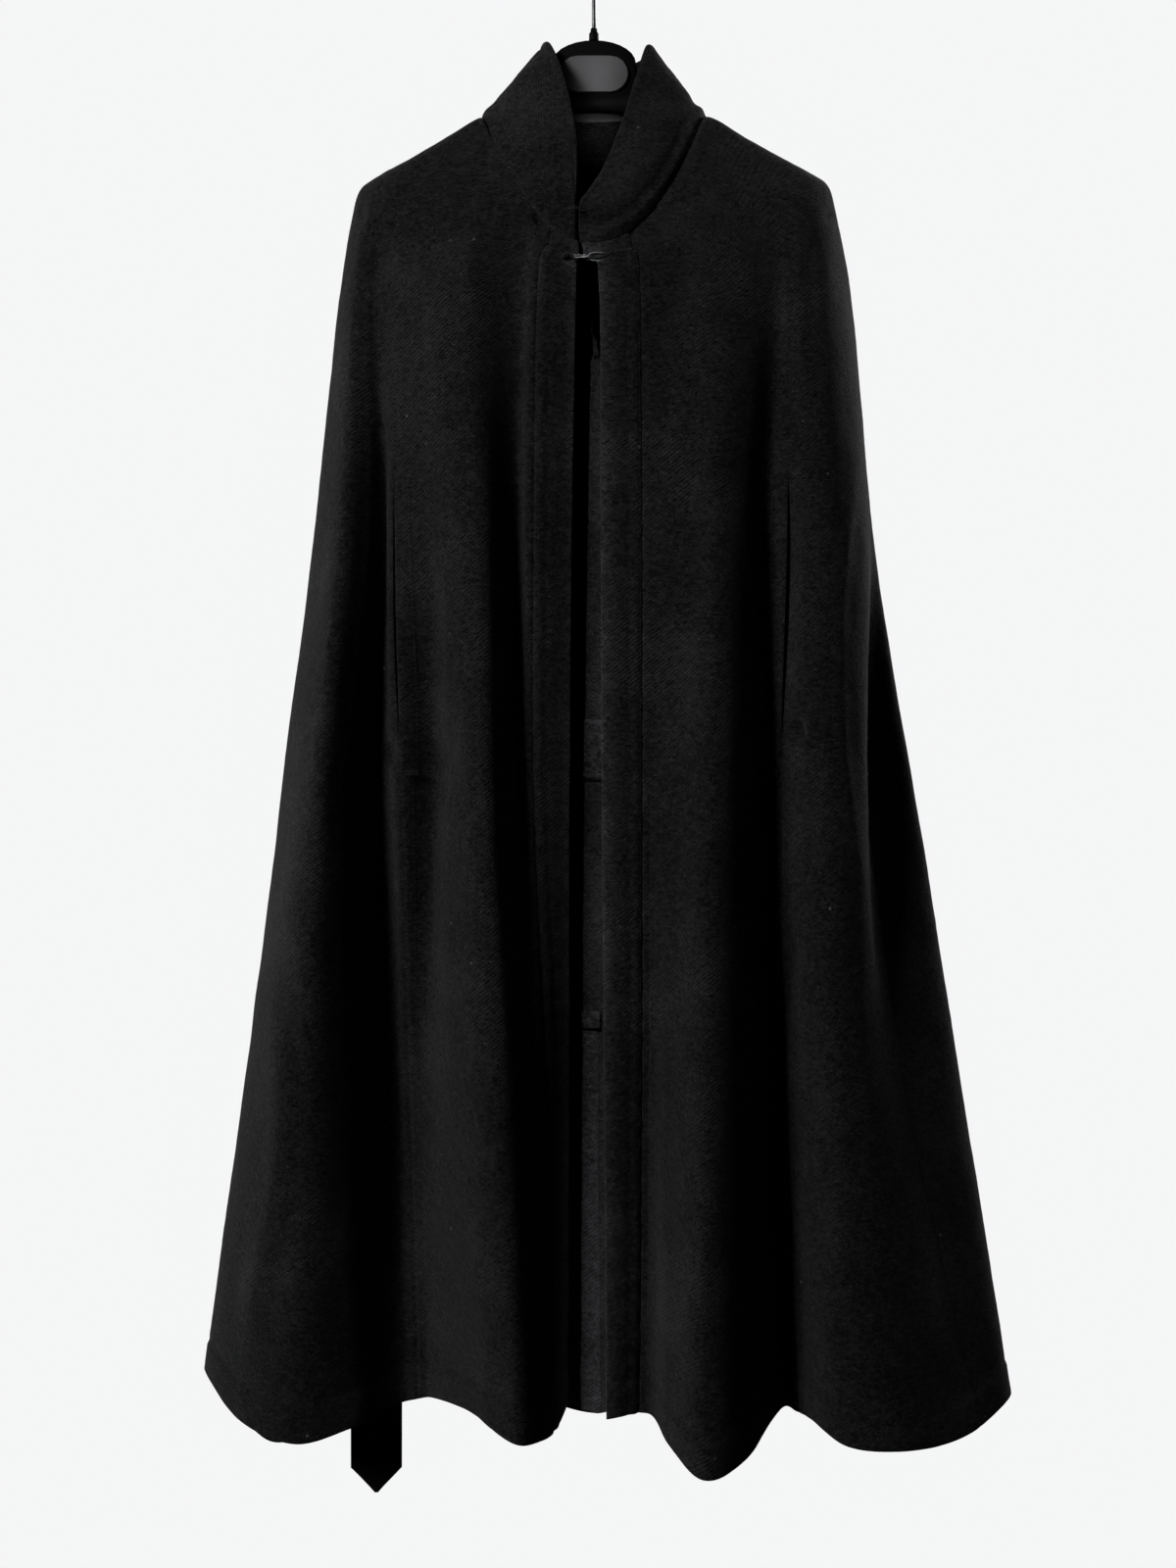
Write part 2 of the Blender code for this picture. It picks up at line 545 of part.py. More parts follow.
def vent(wool):
    """The centre back vent: an underlap inside the right back panel, and a stay bar across its head."""
    seam = FOLD_AT["centre_back_seam"]
    lie = -(CLOTH_THICK / 2 + FACET_GAP + TRIM_THICK / 2)
    top = row_at_height(seam, VENT_TOP_Z)
    overlay(
        "vent_underlap", [seam - 0.7, seam - 0.5, seam], top, HEM - 0.005, lambda share: lie, TRIM_THICK, wool,
    )
    bar_top, bar_bottom = (row_at_height(seam, z) for z in (VENT_TOP_Z + VENT_BAR_HEIGHT, VENT_TOP_Z))
    overlay(
        "vent_bar", [seam - 0.72, seam - 0.5, seam, seam + 0.12], bar_top, bar_bottom - 0.01,
        lambda share: lie - 2.4 * MM - 1.6 * MM * math.sin(math.pi * share), 2.2 * MM, wool,
        extra_rows=(bar_top * 0.75 + bar_bottom * 0.25, bar_top * 0.5 + bar_bottom * 0.5,
                    bar_top * 0.25 + bar_bottom * 0.75),
    )


def tube(name, points, radius, finish, resolution=2):
    """A round wire along a list of points."""
    data = bpy.data.curves.new(name, "CURVE")
    data.dimensions = "3D"
    data.bevel_depth = radius
    data.bevel_resolution = resolution
    data.use_fill_caps = True
    line = data.splines.new("POLY")
    line.points.add(len(points) - 1)
    for place, point in zip(line.points, points):
        place.co = (*point, 1)
    data.materials.append(finish)
    made = bpy.data.objects.new(name, data)
    bpy.context.scene.collection.objects.link(made)
    return made


def bezier(a, b, c, d, count):
    """Points from a to d, pulled towards b and c, both ends included."""
    found = []
    for k in range(count + 1):
        t = k / count
        found.append(a * (1 - t) ** 3 + b * (3 * t * (1 - t) ** 2) + c * (3 * t * t * (1 - t)) + d * t**3)
    return found


def hanger_hook(steel):
    """The wire hook: a straight stem, a swan neck and a round crown whose underside is the origin."""
    centre = Vector((0, 0, WIRE_RADIUS - HOOK_RADIUS))
    start, end, steps = -50, 205, 20

    def on_circle(angle):
        turned = math.radians(angle)
        return centre + Vector((math.cos(turned), 0, math.sin(turned))) * HOOK_RADIUS

    first = on_circle(start)
    heading = Vector((-math.sin(math.radians(start)), 0, math.cos(math.radians(start))))
    stem_top = Vector((0, 0, STEM_TOP_Z))
    swan = bezier(stem_top, stem_top + Vector((0, 0, 10 * MM)), first - heading * 9 * MM, first, 8)
    crown = [on_circle(start + (end - start) * k / steps) for k in range(1, steps + 1)]
    foot = Vector((0, 0, PLATE_TOP_Z + 0.5 * MM))
    tube("hanger_hook", [foot] + swan + crown, WIRE_RADIUS, steel, resolution=3)


def turned(name, profile, finish, steps=24):
    """A ring turned about the z axis from (radius, z) corners that run down its outer side and up its bore."""
    bm = bmesh.new()
    corners = [bm.verts.new((radius, 0, z)) for radius, z in profile]
    edges = [bm.edges.new((corners[k], corners[(k + 1) % len(corners)])) for k in range(len(corners))]
    bmesh.ops.spin(
        bm, geom=corners + edges, angle=math.tau, steps=steps, axis=(0, 0, 1), cent=(0, 0, 0), use_merge=True
    )
    bmesh.ops.remove_doubles(bm, verts=bm.verts, dist=0.00001)
    return add_object(name, bm, finish)


def ferrule(plastic):
    """The small tapered collar in which the hook turns."""
    bore = WIRE_RADIUS + 0.3 * MM
    low = PLATE_TOP_Z + 0.4 * MM
    high = low + FERRULE_HEIGHT
    profile = (
        (bore, high), (2.9 * MM, high), (3.2 * MM, high - 3 * MM), (4.4 * MM, high - 4.5 * MM),
        (4.6 * MM, low), (bore, low),
    )
    turned("hanger_ferrule", profile, plastic)


def prism(name, outline, front_y, back_y, finish, bevel=0.0):
    """A plate with an outline in x and z, between two depths."""
    bm = bmesh.new()
    face = bm.faces.new([bm.verts.new((x, front_y, z)) for x, z in outline])
    made = bmesh.ops.extrude_face_region(bm, geom=[face], use_keep_orig=True)
    moved = [item for item in made["geom"] if isinstance(item, bmesh.types.BMVert)]
    bmesh.ops.translate(bm, verts=moved, vec=(0, back_y - front_y, 0))
    bmesh.ops.recalc_face_normals(bm, faces=bm.faces)
    if bevel:
        rims = [edge for edge in bm.edges if abs(edge.verts[0].co.y - edge.verts[1].co.y) < 1e-6]
        bmesh.ops.bevel(bm, geom=rims, offset=bevel, segments=2, profile=0.5, affect="EDGES", material=-1)
    return add_object(name, bm, finish)


def arm_top(x):
    """Height of the hanger's upper side at x: bowed under the collar, then straight along the shoulder."""
    reach = abs(x)
    shoulder = NECK_POINT_Z - ARM_CLEARANCE
    if reach >= NECK_HALF_WIDTH:
        return shoulder - (reach - NECK_HALF_WIDTH) * SHOULDER_SLOPE_RIGHT
    start = ARM_MIDDLE_Z + 13 * MM
    return start + (shoulder - start) * (reach / NECK_HALF_WIDTH) ** 2


def hanger_body(plastic):
    """Arms and head plate of the hanger, joined into one body."""
    bm = bmesh.new()
    sides, stations = 12, 24
    rings = []
    for k in range(stations + 1):
        x = ARM_REACH * (2 * k / stations - 1)
        reach = abs(x) / ARM_REACH
        round_off = math.sqrt(max(1 - max(reach - 0.94, 0) ** 2 / 0.06**2, 0.09))
        half_depth = (6 + 10 * reach) * MM * round_off
        half_height = 13 * MM * round_off
        centre_z = arm_top(x) - 13 * MM
        rings.append([
            bm.verts.new((
                x, half_depth * math.cos(math.tau * s / sides), centre_z + half_height * math.sin(math.tau * s / sides),
            ))
            for s in range(sides)
        ])
    for ring, following in zip(rings, rings[1:]):
        for s in range(sides):
            bm.faces.new((ring[s], ring[(s + 1) % sides], following[(s + 1) % sides], following[s]))
    bm.faces.new(rings[0])
    bm.faces.new(rings[-1])
    body = add_object("hanger_body", bm, plastic)
    crown = [
        (
            PLATE_HALF_WIDTH * math.cos(math.pi * k / 14),
            PLATE_SHOULDER_Z + (PLATE_TOP_Z - PLATE_SHOULDER_Z) * math.sin(math.pi * k / 14),
        )
        for k in range(15)
    ]
    foot = [(-PLATE_HALF_WIDTH, PLATE_FOOT_Z), (PLATE_HALF_WIDTH, PLATE_FOOT_Z)]
    plate = prism("head_plate_guide", crown + foot, -PLATE_THICK / 2, PLATE_THICK / 2, plastic, bevel=1.5 * MM)
    plate.hide_render = True
    plate.display_type = "WIRE"
    join = body.modifiers.new("head_plate", "BOOLEAN")
    join.operation = "UNION"
    join.object = plate


def plaque(grey):
    """The blank oval plaque on the front of the head plate."""
    width, height = PLAQUE_SIZE
    radius = height / 2
    reach = width / 2 - radius
    outline = []
    for side, start in ((1, -90), (-1, 90)):
        for k in range(9):
            angle = math.radians(start + 180 * k / 8)
            outline.append((side * reach + radius * math.cos(angle), PLAQUE_Z + radius * math.sin(angle)))
    face_y = -PLATE_THICK / 2 - 0.3 * MM
    prism("hanger_plaque", outline, face_y - PLAQUE_THICK, face_y, grey, bevel=0.8 * MM)


def clasp(suffix, place, scale, steel):
    """A wire hook on the right edge, closed over a wire eye on the left edge. place is the eye's tip."""
    def at(x, y, z):
        return place + Vector((x, y, z)) * (scale * MM)

    eye = [at(13, 0, 3.4), at(9, 0, 3.6)]
    eye += [at(6 - 6 * math.sin(math.pi * k / 10), 0, 3.6 * math.cos(math.pi * k / 10)) for k in range(11)]
    eye += [at(9, 0, -3.6), at(13, 0, -3.4)]
    tube("eye_" + suffix, eye, CLASP_WIRE * scale, steel)
    leg = CLASP_LEG / MM
    half = [(-13, -leg, 1.0), (-8, -leg, 0.9), (-3, -leg, 0.8), (0.6, -leg, 0.8)]
    for k in range(1, 6):
        angle = math.pi * k / 6
        half.append((0.6 + leg * math.sin(angle), -leg * math.cos(angle), 0.8))
    half.append((0.6, leg, 0.8))
    half.append((-3.5, leg, 0.8))
    back = [(x, y, -z) for x, y, z in half[::-1]]
    tube("hook_" + suffix, [at(*p) for p in half + [(-4.2, leg, 0)] + back], CLASP_WIRE * scale, steel)


def build():
    for stale in list(bpy.data.objects):
        bpy.data.objects.remove(stale)
    wool = material("black_wool", (0.012, 0.012, 0.013), 0.95)
    satin = material("label_satin", (0.01, 0.01, 0.01), 0.45)
    plastic = material("black_plastic", (0.012, 0.012, 0.012), 0.4)
    grey = material("grey_plaque", (0.05, 0.05, 0.05), 0.5)
    steel = material("steel_wire", (0.55, 0.55, 0.55), 0.25, 1.0)
    gunmetal = material("gunmetal_wire", (0.12, 0.12, 0.12), 0.35, 1.0)
    body_panels(wool)
    arm_welts(wool)
    collar(wool)
    label_and_loop(satin, wool)
    waist_casing(wool)
    belt(wool)
    vent(wool)
    hanger_hook(steel)
    ferrule(plastic)
    hanger_body(plastic)
    plaque(grey)
    clasp("lower", LOWER_CLASP, 1.0, gunmetal)
    clasp("upper", UPPER_CLASP, 0.65, gunmetal)


build()
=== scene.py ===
"""Black wool cloak on a shaped hanger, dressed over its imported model.

The cloak's body is one smooth surface round the hanger, cut into panels at its seams. Lengths in the tables are in
millimetres. Right and left are the wearer's: the wearer's right is at -X.
"""

import math
from collections import namedtuple

import bmesh
import bpy
import numpy as np
from mathutils import Matrix, Vector


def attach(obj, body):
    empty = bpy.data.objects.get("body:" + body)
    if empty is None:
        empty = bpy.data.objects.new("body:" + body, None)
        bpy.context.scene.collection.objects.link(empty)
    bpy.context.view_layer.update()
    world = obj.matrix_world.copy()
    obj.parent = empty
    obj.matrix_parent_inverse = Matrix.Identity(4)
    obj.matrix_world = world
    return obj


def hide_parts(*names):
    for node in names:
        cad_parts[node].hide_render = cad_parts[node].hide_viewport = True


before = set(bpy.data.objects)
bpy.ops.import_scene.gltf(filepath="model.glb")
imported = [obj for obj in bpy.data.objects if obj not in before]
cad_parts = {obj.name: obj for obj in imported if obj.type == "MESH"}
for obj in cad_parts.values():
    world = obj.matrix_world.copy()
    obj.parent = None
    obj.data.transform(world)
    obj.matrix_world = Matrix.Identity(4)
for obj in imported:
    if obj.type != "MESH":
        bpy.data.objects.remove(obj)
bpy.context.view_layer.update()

MM = 0.001
PANEL_THICK = 2.0 * MM
HEM_THICK = 3.2 * MM  # where the hem is turned up
BAND_THICK = 3.0 * MM
TRIM_THICK = 1.5 * MM
COLLAR_THICK = 4.6 * MM
BELT_THICK = 2.6 * MM
SEAM_INSET = -0.15  # millimetres from a seam's line to each panel's edge
HEM_TURN = 28  # height of the turned-up hem, in millimetres
ROW_COUNT = 236

NECK_HALF_WIDTH = 102
NECK_FRONT_DEPTH = 60
NECK_BACK_DEPTH = 50
NECK_FRONT_Z = -294
NECK_BACK_Z = -184
NECK_POINT_Z = -164
SHOULDER_SLOPE_RIGHT = 0.575
SHOULDER_SLOPE_LEFT = 0.53
YOKE_DROP = 15
RING_HEIGHTS = (-320, -538, -774, -1037)
STATION_KNOTS = (0.0, 0.03, 0.13, 0.32, 0.53, 0.76, 1.0)
KNOTS_PER_MM = 0.00085

# A row for each fold, from the right front edge round the back to the left front edge: where its top lies along x,
# then (x, y) at the yoke, chest, ribs, waist, thigh and hem, then the height of the hem there.
Fold = namedtuple("Fold", "name top_x yoke chest ribs waist thigh hem hem_z")
FOLDS = tuple(Fold(*row) for row in (
    ("right_edge", -14, (-14, -63), (-16, -62), (-20, -61), (-22, -53), (-23, -45), (-25, -40), -1329),
    ("right_placket_seam", -38, (-40, -62), (-50, -66), (-54, -68), (-54, -65), (-43, -70), (-37, -77), -1345),
    ("right_placket_valley", -56, (-58, -57), (-67, -58), (-71, -56), (-69, -56), (-60, -93), (-49, -104), -1345),
    ("right_flute_crest", -78, (-80, -47), (-105, -70), (-94, -86), (-88, -101), (-77, -115), (-66, -122), -1342),
    ("right_flute_flank", -91, (-94, -36), (-121, -72), (-112, -88), (-107, -101), (-98, -112), (-90, -106), -1333),
    ("right_neck_point", -102, (-106, -24), (-137, -70), (-130, -80), (-126, -76), (-122, -86), (-110, -78), -1326),
    ("right_mid_valley", -134, (-136, -24), (-153, -64), (-147, -66), (-143, -46), (-147, -46), (-144, -36), -1327),
    ("right_arm_seam", -168, (-169, -24), (-177, -54), (-177, -51), (-172, -57), (-167, -34), (-159, -29), -1330),
    ("right_side_valley", -178, (-181, -23), (-195, -46), (-187, -37), (-194, -36), (-186, -30), (-180, -31), -1335),
    ("right_side_flank", -187, (-192, -21), (-204, -44), (-203, -54), (-220, -78), (-222, -83), (-216, -70), -1344),
    ("right_side_crest", -195, (-202, -17), (-215, -38), (-221, -66), (-241, -95), (-256, -101), (-262, -91), -1351),
    ("right_side_turn", -203, (-212, -10), (-225, -22), (-240, -42), (-266, -64), (-295, -66), (-315, -66), -1337),
    ("right_side_seam", -210, (-219, 0), (-231, 0), (-254, -4), (-283, -8), (-316, -8), (-354, -8), -1310),
    ("right_back_turn", -204, (-213, 10), (-222, 26), (-240, 40), (-262, 56), (-285, 60), (-306, 52), -1394),
    ("right_back_valley", -184, (-189, 23), (-196, 42), (-206, 48), (-218, 46), (-232, 40), (-244, 32), -1366),
    ("right_back_crest", -150, (-152, 24), (-158, 50), (-160, 64), (-165, 78), (-168, 88), (-172, 92), -1352),
    ("right_back_hollow", -102, (-106, 24), (-118, 54), (-114, 58), (-110, 56), (-106, 50), (-104, 42), -1354),
    ("right_spine_crest", -56, (-58, 47), (-62, 56), (-60, 68), (-58, 80), (-56, 88), (-54, 94), -1368),
    ("centre_back_seam", 0, (0, 53), (0, 54), (0, 60), (0, 62), (1, 62), (4, 60), -1370),
    ("left_spine_crest", 54, (56, 47), (56, 56), (54, 70), (52, 82), (50, 90), (52, 92), -1366),
    ("left_back_hollow", 102, (106, 24), (106, 54), (106, 56), (104, 52), (106, 46), (110, 38), -1368),
    ("left_back_crest", 144, (147, 24), (150, 50), (152, 66), (158, 80), (166, 88), (176, 90), -1360),
    ("left_back_valley", 178, (182, 23), (190, 42), (198, 50), (212, 50), (226, 42), (246, 34), -1366),
    ("left_back_turn", 197, (204, 17), (218, 32), (236, 42), (262, 62), (292, 70), (326, 72), -1376),
    ("left_outer_crest", 205, (213, 9), (233, 14), (255, 16), (296, 24), (336, 10), (381, -2), -1332),
    ("left_side_seam", 210, (219, 0), (234, 0), (253, 0), (249, -8), (279, -36), (347, -42), -1351),
    ("left_side_ridge", 203, (212, -10), (226, -18), (245, -26), (244, -44), (253, -60), (306, -68), -1360),
    ("left_side_crest", 195, (202, -17), (212, -36), (224, -50), (226, -64), (234, -72), (257, -88), -1359),
    ("left_side_turn", 187, (192, -21), (200, -46), (206, -60), (207, -72), (211, -76), (220, -82), -1355),
    ("left_arm_ridge", 178, (181, -23), (186, -52), (187, -60), (188, -66), (192, -62), (196, -56), -1341),
    ("left_arm_seam", 168, (169, -24), (174, -50), (173, -52), (168, -46), (171, -40), (186, -36), -1340),
    ("left_mid_valley", 140, (142, -24), (161, -48), (152, -44), (152, -36), (153, -31), (168, -28), -1339),
    ("left_neck_point", 102, (106, -24), (136, -58), (132, -70), (128, -86), (128, -95), (130, -101), -1362),
    ("left_flute_crest", 86, (90, -41), (112, -64), (108, -84), (101, -104), (96, -118), (94, -132), -1369),
    ("left_flute_flank", 66, (69, -52), (82, -66), (83, -76), (74, -84), (67, -88), (66, -98), -1350),
    ("left_placket_valley", 47, (49, -59), (54, -66), (61, -72), (54, -73), (53, -70), (54, -66), -1336),
    ("left_placket_seam", 33, (34, -63), (41, -66), (43, -70), (43, -72), (43, -66), (41, -58), -1334),
    ("left_edge", -11, (-8, -64), (4, -62), (6, -70), (7, -73), (9, -73), (11, -70), -1336),
))
AT = {fold.name: index for index, fold in enumerate(FOLDS)}
SEAM_DIPS = {"right_placket_seam": 0.8, "left_placket_seam": 0.8, "centre_back_seam": 0.6}
SEAMS = ("right_placket_seam", "right_arm_seam", "right_side_seam", "centre_back_seam", "left_side_seam",
         "left_arm_seam", "left_placket_seam")

# Soft troughs, or ridges where the depth is negative, each along a line from (x, z) to (x, z).
Crease = namedtuple("Crease", "name side start end width depth")
CREASES = tuple(Crease(*row) for row in (
    ("right_tip_nip", "front", (-213, -248), (-205, -264), 3.5, 1.6),
    ("right_tip_dent", "front", (-200, -270), (-198, -336), 7, 3.2),
    ("right_shoulder_drag", "front", (-181, -250), (-172, -430), 11, 2.2),
    ("right_chest_trough", "front", (-123, -214), (-119, -306), 9, 2.6),
    ("right_chest_ridge", "front", (-104, -236), (-106, -372), 10, -1.6),
    ("right_chest_drag", "front", (-92, -300), (-80, -520), 12, 1.5),
    ("neck_pucker_upper", "front", (-54, -262), (-32, -294), 5, 5.0),
    ("neck_pucker_ridge", "front", (-44, -276), (-22, -300), 4.5, -2.6),
    ("neck_pucker_lower", "front", (-38, -290), (-18, -314), 5, 4.6),
    ("right_tack_dent", "front", (-184, -734), (-172, -756), 7, 4.5),
    ("left_tack_dent", "front", (179, -715), (185, -738), 5.5, 8.5),
    ("left_tack_ridge", "front", (191, -708), (188, -750), 6, -2.2),
    ("right_waist_dent", "front", (-131, -728), (-140, -796), 10, 4.2),
    ("neck_pucker_left", "front", (14, -302), (32, -292), 4.5, 1.6),
    ("left_tip_nip", "front", (209, -266), (219, -254), 3.5, 1.6),
    ("left_shoulder_hollow", "front", (172, -240), (187, -350), 13, 3.0),
    ("left_tip_drag", "front", (200, -272), (206, -420), 9, 1.8),
    ("left_chest_drag", "front", (92, -262), (76, -470), 13, 1.8),
    ("left_chest_ridge", "front", (60, -340), (64, -560), 10, -1.0),
    ("right_flute_streak", "front", (-281, -935), (-318, -1280), 11, -2.6),
    ("right_flute_shadow", "front", (-268, -900), (-296, -1290), 9, 1.6),
    ("left_flank_crease", "front", (189, -870), (190, -1250), 8, 2.8),
    ("left_flank_fold", "front", (214, -1040), (236, -1330), 10, 2.0),
    ("left_ridge_line", "front", (243, -450), (246, -900), 6, -1.6),
    ("hem_wave_right", "front", (-84, -1180), (-92, -1345), 12, 2.2),
    ("hem_wave_left", "front", (108, -1150), (112, -1370), 10, 1.8),
    ("back_yoke_left", "back", (70, -205), (42, -430), 14, 2.0),
    ("back_yoke_right", "back", (-76, -205), (-50, -410), 13, 1.8),
    ("back_shoulder_left", "back", (190, -255), (168, -470), 12, 2.4),
    ("back_shoulder_right", "back", (-188, -255), (-172, -450), 12, 2.2),
    ("back_flank_left", "back", (210, -900), (232, -1320), 10, 2.4),
    ("back_flank_right", "back", (-200, -860), (-214, -1310), 11, 2.4),
))

# The cut panels: folds at their two edges, columns, thickness, whether each edge is free, and the flat cut, in metres.
Panel = namedtuple("Panel", "name first last columns thick free flat area")
PANELS = (
    Panel("placket_right", "right_edge", "right_placket_seam", 14, BAND_THICK, (True, False), (0.040, 1.09), 0.038),
    Panel("front_right", "right_placket_seam", "right_arm_seam", 66, HEM_THICK, (False, False), (0.24, 1.18), 0.19),
    Panel("side_right", "right_arm_seam", "right_side_seam", 70, HEM_THICK, (False, False), (0.28, 1.15), 0.19),
    Panel("back_right", "right_side_seam", "centre_back_seam", 96, HEM_THICK, (False, False), (0.50, 1.22), 0.42),
    Panel("back_left", "centre_back_seam", "left_side_seam", 104, HEM_THICK, (False, False), (0.55, 1.22), 0.46),
    Panel("side_left", "left_side_seam", "left_arm_seam", 62, HEM_THICK, (False, False), (0.25, 1.15), 0.15),
    Panel("front_left", "left_arm_seam", "left_placket_seam", 74, HEM_THICK, (False, False), (0.26, 1.20), 0.21),
    Panel("placket_left", "left_placket_seam", "left_edge", 14, BAND_THICK, (False, True), (0.040, 1.08), 0.039),
)
EDGE_STEPS = (0.0, 0.4, 1.1, 2.4)  # millimetres in from a panel's edge, where its rim rounds off
EDGE_FULLNESS = (0.35, 0.75, 0.95, 1.0)

SLIT_TOP_Z = -500
SLIT_BOTTOM_Z = -735
SLIT_BACK = 8
SLIT_OUT = 3.5

# Collar: a row for each station of its top edge, from the right front end round the back.
CollarStation = namedtuple("CollarStation", "turn top bulge")
COLLAR = tuple(CollarStation(*row) for row in (
    (8.7, (-15.5, -64, -256), 2),
    (24, (-14.5, -57, -205), 4),
    (42, (-20, -47, -166), 6),
    (62, (-29, -30, -127), 4),
    (80, (-40, -12, -98), 1),
    (98, (-43, 6, -99), 0),
    (135, (-28, 31, -102), 5),
    (180, (2, 38, -104), 5),
    (225, (33, 31, -103), 5),
    (262, (50, 6, -102), 0),
    (280, (47, -12, -101), 1),
    (298, (37, -28, -136), 4),
    (318, (25, -40, -178), 9),
    (340, (9, -44, -220), 8),
    (354, (-5, -51, -243), 5),
    (367.3, (-13, -60, -254), 3),
))
COLLAR_COLUMNS_PER_STATION = 12
COLLAR_RISE_ROWS = 34

CASING_TOP_Z = -713
CASING_BOTTOM_Z = -771
BELT_Z = (CASING_TOP_Z + CASING_BOTTOM_Z) / 2
BELT_WIDTH = 47
BELT_TAIL_X = 200.5
BELT_POINT = 24
BELT_RIGHT_TIP_Z = -1428
BELT_LEFT_TIP_Z = -1296
VENT_TOP_Z = -1005
LABEL_Z = -146
LOOP_Z = -188

WELT_START, WELT_WIDTH, WELT_LIFT = 0.6, 14, 0.75
WELT_TOP_Z, WELT_BOTTOM_Z = -494, -764
WELT_THICK = 1.1 * MM
FIBRE_COUNT = 26000
PROBE = 0.1  # how far beside a fold its spacing is measured, in folds
NARROWEST_FOLD = 8

# Lines of stitches: seam, side of it, distance from it, top and bottom heights, and lift off the cloth.
SEAM_STITCHES = (
    ("right_placket_seam", -1, 2.2, -292, -1330, 1.75),
    ("left_placket_seam", 1, 2.2, -292, -1320, 1.75),
    ("right_arm_seam", -1, 2.6, -772, -1300, 1.35),
    ("right_arm_seam", -1, 9.0, -772, -1300, 1.35),
    ("left_arm_seam", 1, 2.6, -772, -1310, 1.35),
    ("left_arm_seam", 1, 9.0, -772, -1310, 1.35),
    ("right_arm_seam", -1, 12.6, -498, -760, 3.2),
    ("left_arm_seam", 1, 12.6, -498, -760, 3.2),
    ("centre_back_seam", -1, 2.4, -200, -1000, 1.35),
    ("centre_back_seam", 1, 2.4, -200, -1000, 1.35),
)
ARM_SEAMS = (("right", "right_arm_seam", -1), ("left", "left_arm_seam", 1))


# ---------------------------------------------------------------- surfaces

def through(points, knots, at, first_slope=None):
    """Points on the smooth curve that passes points[i] at knots[i], along the first axis."""
    points, knots, at = np.asarray(points, float), np.asarray(knots, float), np.asarray(at, float)
    order = np.arange(len(points))
    low, high = np.maximum(order - 1, 0), np.minimum(order + 1, len(points) - 1)
    column = (-1,) + (1,) * (points.ndim - 1)
    slopes = (points[high] - points[low]) / (knots[high] - knots[low]).reshape(column)
    if first_slope is not None:
        slopes[0] = first_slope
    span = np.clip(np.searchsorted(knots, at, side="right") - 1, 0, len(points) - 2)
    width = (knots[span + 1] - knots[span]).reshape(column)
    s = (at - knots[span]).reshape(column) / width
    return (
        points[span] * (2 * s**3 - 3 * s**2 + 1) + slopes[span] * (width * (s**3 - 2 * s**2 + s))
        + points[span + 1] * (3 * s**2 - 2 * s**3) + slopes[span + 1] * (width * (s**3 - s**2))
    )


def top_points(x, front):
    """The cloak's top edge at each x, on the neckline or on the shoulder seam."""
    share = np.abs(x) / NECK_HALF_WIDTH
    curve = np.sqrt(np.clip(1 - share**2, 0, 1))
    slope = np.where(x < 0, SHOULDER_SLOPE_RIGHT, SHOULDER_SLOPE_LEFT)
    start_z = np.where(front, NECK_FRONT_Z, NECK_BACK_Z)
    y = np.where(front, -NECK_FRONT_DEPTH * curve, NECK_BACK_DEPTH * curve)
    inner_z = start_z + (NECK_POINT_Z - start_z) * share**2
    outer_z = NECK_POINT_Z - (np.abs(x) - NECK_HALF_WIDTH) * slope
    return np.stack([x, np.where(share < 1, y, 0), np.where(share < 1, inner_z, outer_z)], axis=-1)


def is_front(u):
    return ~((u > AT["right_side_seam"]) & (u < AT["left_side_seam"]))


def fold_lines(knots):
    """Every fold's points at the given knots: an array of folds by knots by xyz."""
    lines = []
    for index, fold in enumerate(FOLDS):
        top = top_points(np.array(float(fold.top_x)), is_front(np.array(index)))
        heights = (top[2] - YOKE_DROP, *RING_HEIGHTS, fold.hem_z)
        rings = (fold.yoke, fold.chest, fold.ribs, fold.waist, fold.thigh, fold.hem)
        path = [top] + [np.array((x, y, z)) for (x, y), z in zip(rings, heights)]
        first_slope = None
        if abs(fold.top_x) >= NECK_HALF_WIDTH:  # level over the hanger's arm, then rounding downwards
            first_slope = (path[1] - path[0]) / STATION_KNOTS[1] * np.array((1.3, 1.5, 0.25))
        lines.append(through(path, STATION_KNOTS, knots, first_slope))
    return np.array(lines)


def across_folds(lines, u):
    """Points at fold numbers u, an array of columns by rows, between the fold lines."""
    last = len(FOLDS) - 1
    k = np.clip(np.floor(u).astype(int), 0, last - 1)
    s = (u - k)[..., None]
    rows = np.broadcast_to(np.arange(u.shape[1]), u.shape)
    before, start, end, after = (
        lines[np.clip(k + step, 0, last), rows] for step in (-1, 0, 1, 2)
    )
    start_slope = np.where((k == 0)[..., None], end - start, (end - before) / 2)
    end_slope = np.where((k == last - 1)[..., None], end - start, (after - start) / 2)
    return (
        start * (2 * s**3 - 3 * s**2 + 1) + start_slope * (s**3 - 2 * s**2 + s)
        + end * (3 * s**2 - 2 * s**3) + end_slope * (s**3 - s**2)
    )


def ease(share):
    return share * share * (3 - 2 * share)


def unit(vectors):
    return vectors / np.maximum(np.linalg.norm(vectors, axis=-1, keepdims=True), 1e-9)


def soft_noise(points, size, seed):
    """Smooth noise from -1 to 1 over points in millimetres, with blobs of about that size along x, y and z."""
    table = np.random.default_rng(seed).uniform(-1, 1, (32, 32, 32))
    place = points / np.asarray(size, float)
    cell = np.floor(place).astype(int)
    f = ease(place - cell)
    total = 0
    for corner in np.ndindex(2, 2, 2):
        share = np.prod([f[..., a] if corner[a] else 1 - f[..., a] for a in range(3)], axis=0)
        x, y, z = ((cell[..., a] + corner[a]) % 32 for a in range(3))
        total = total + table[x, y, z] * share
    return total


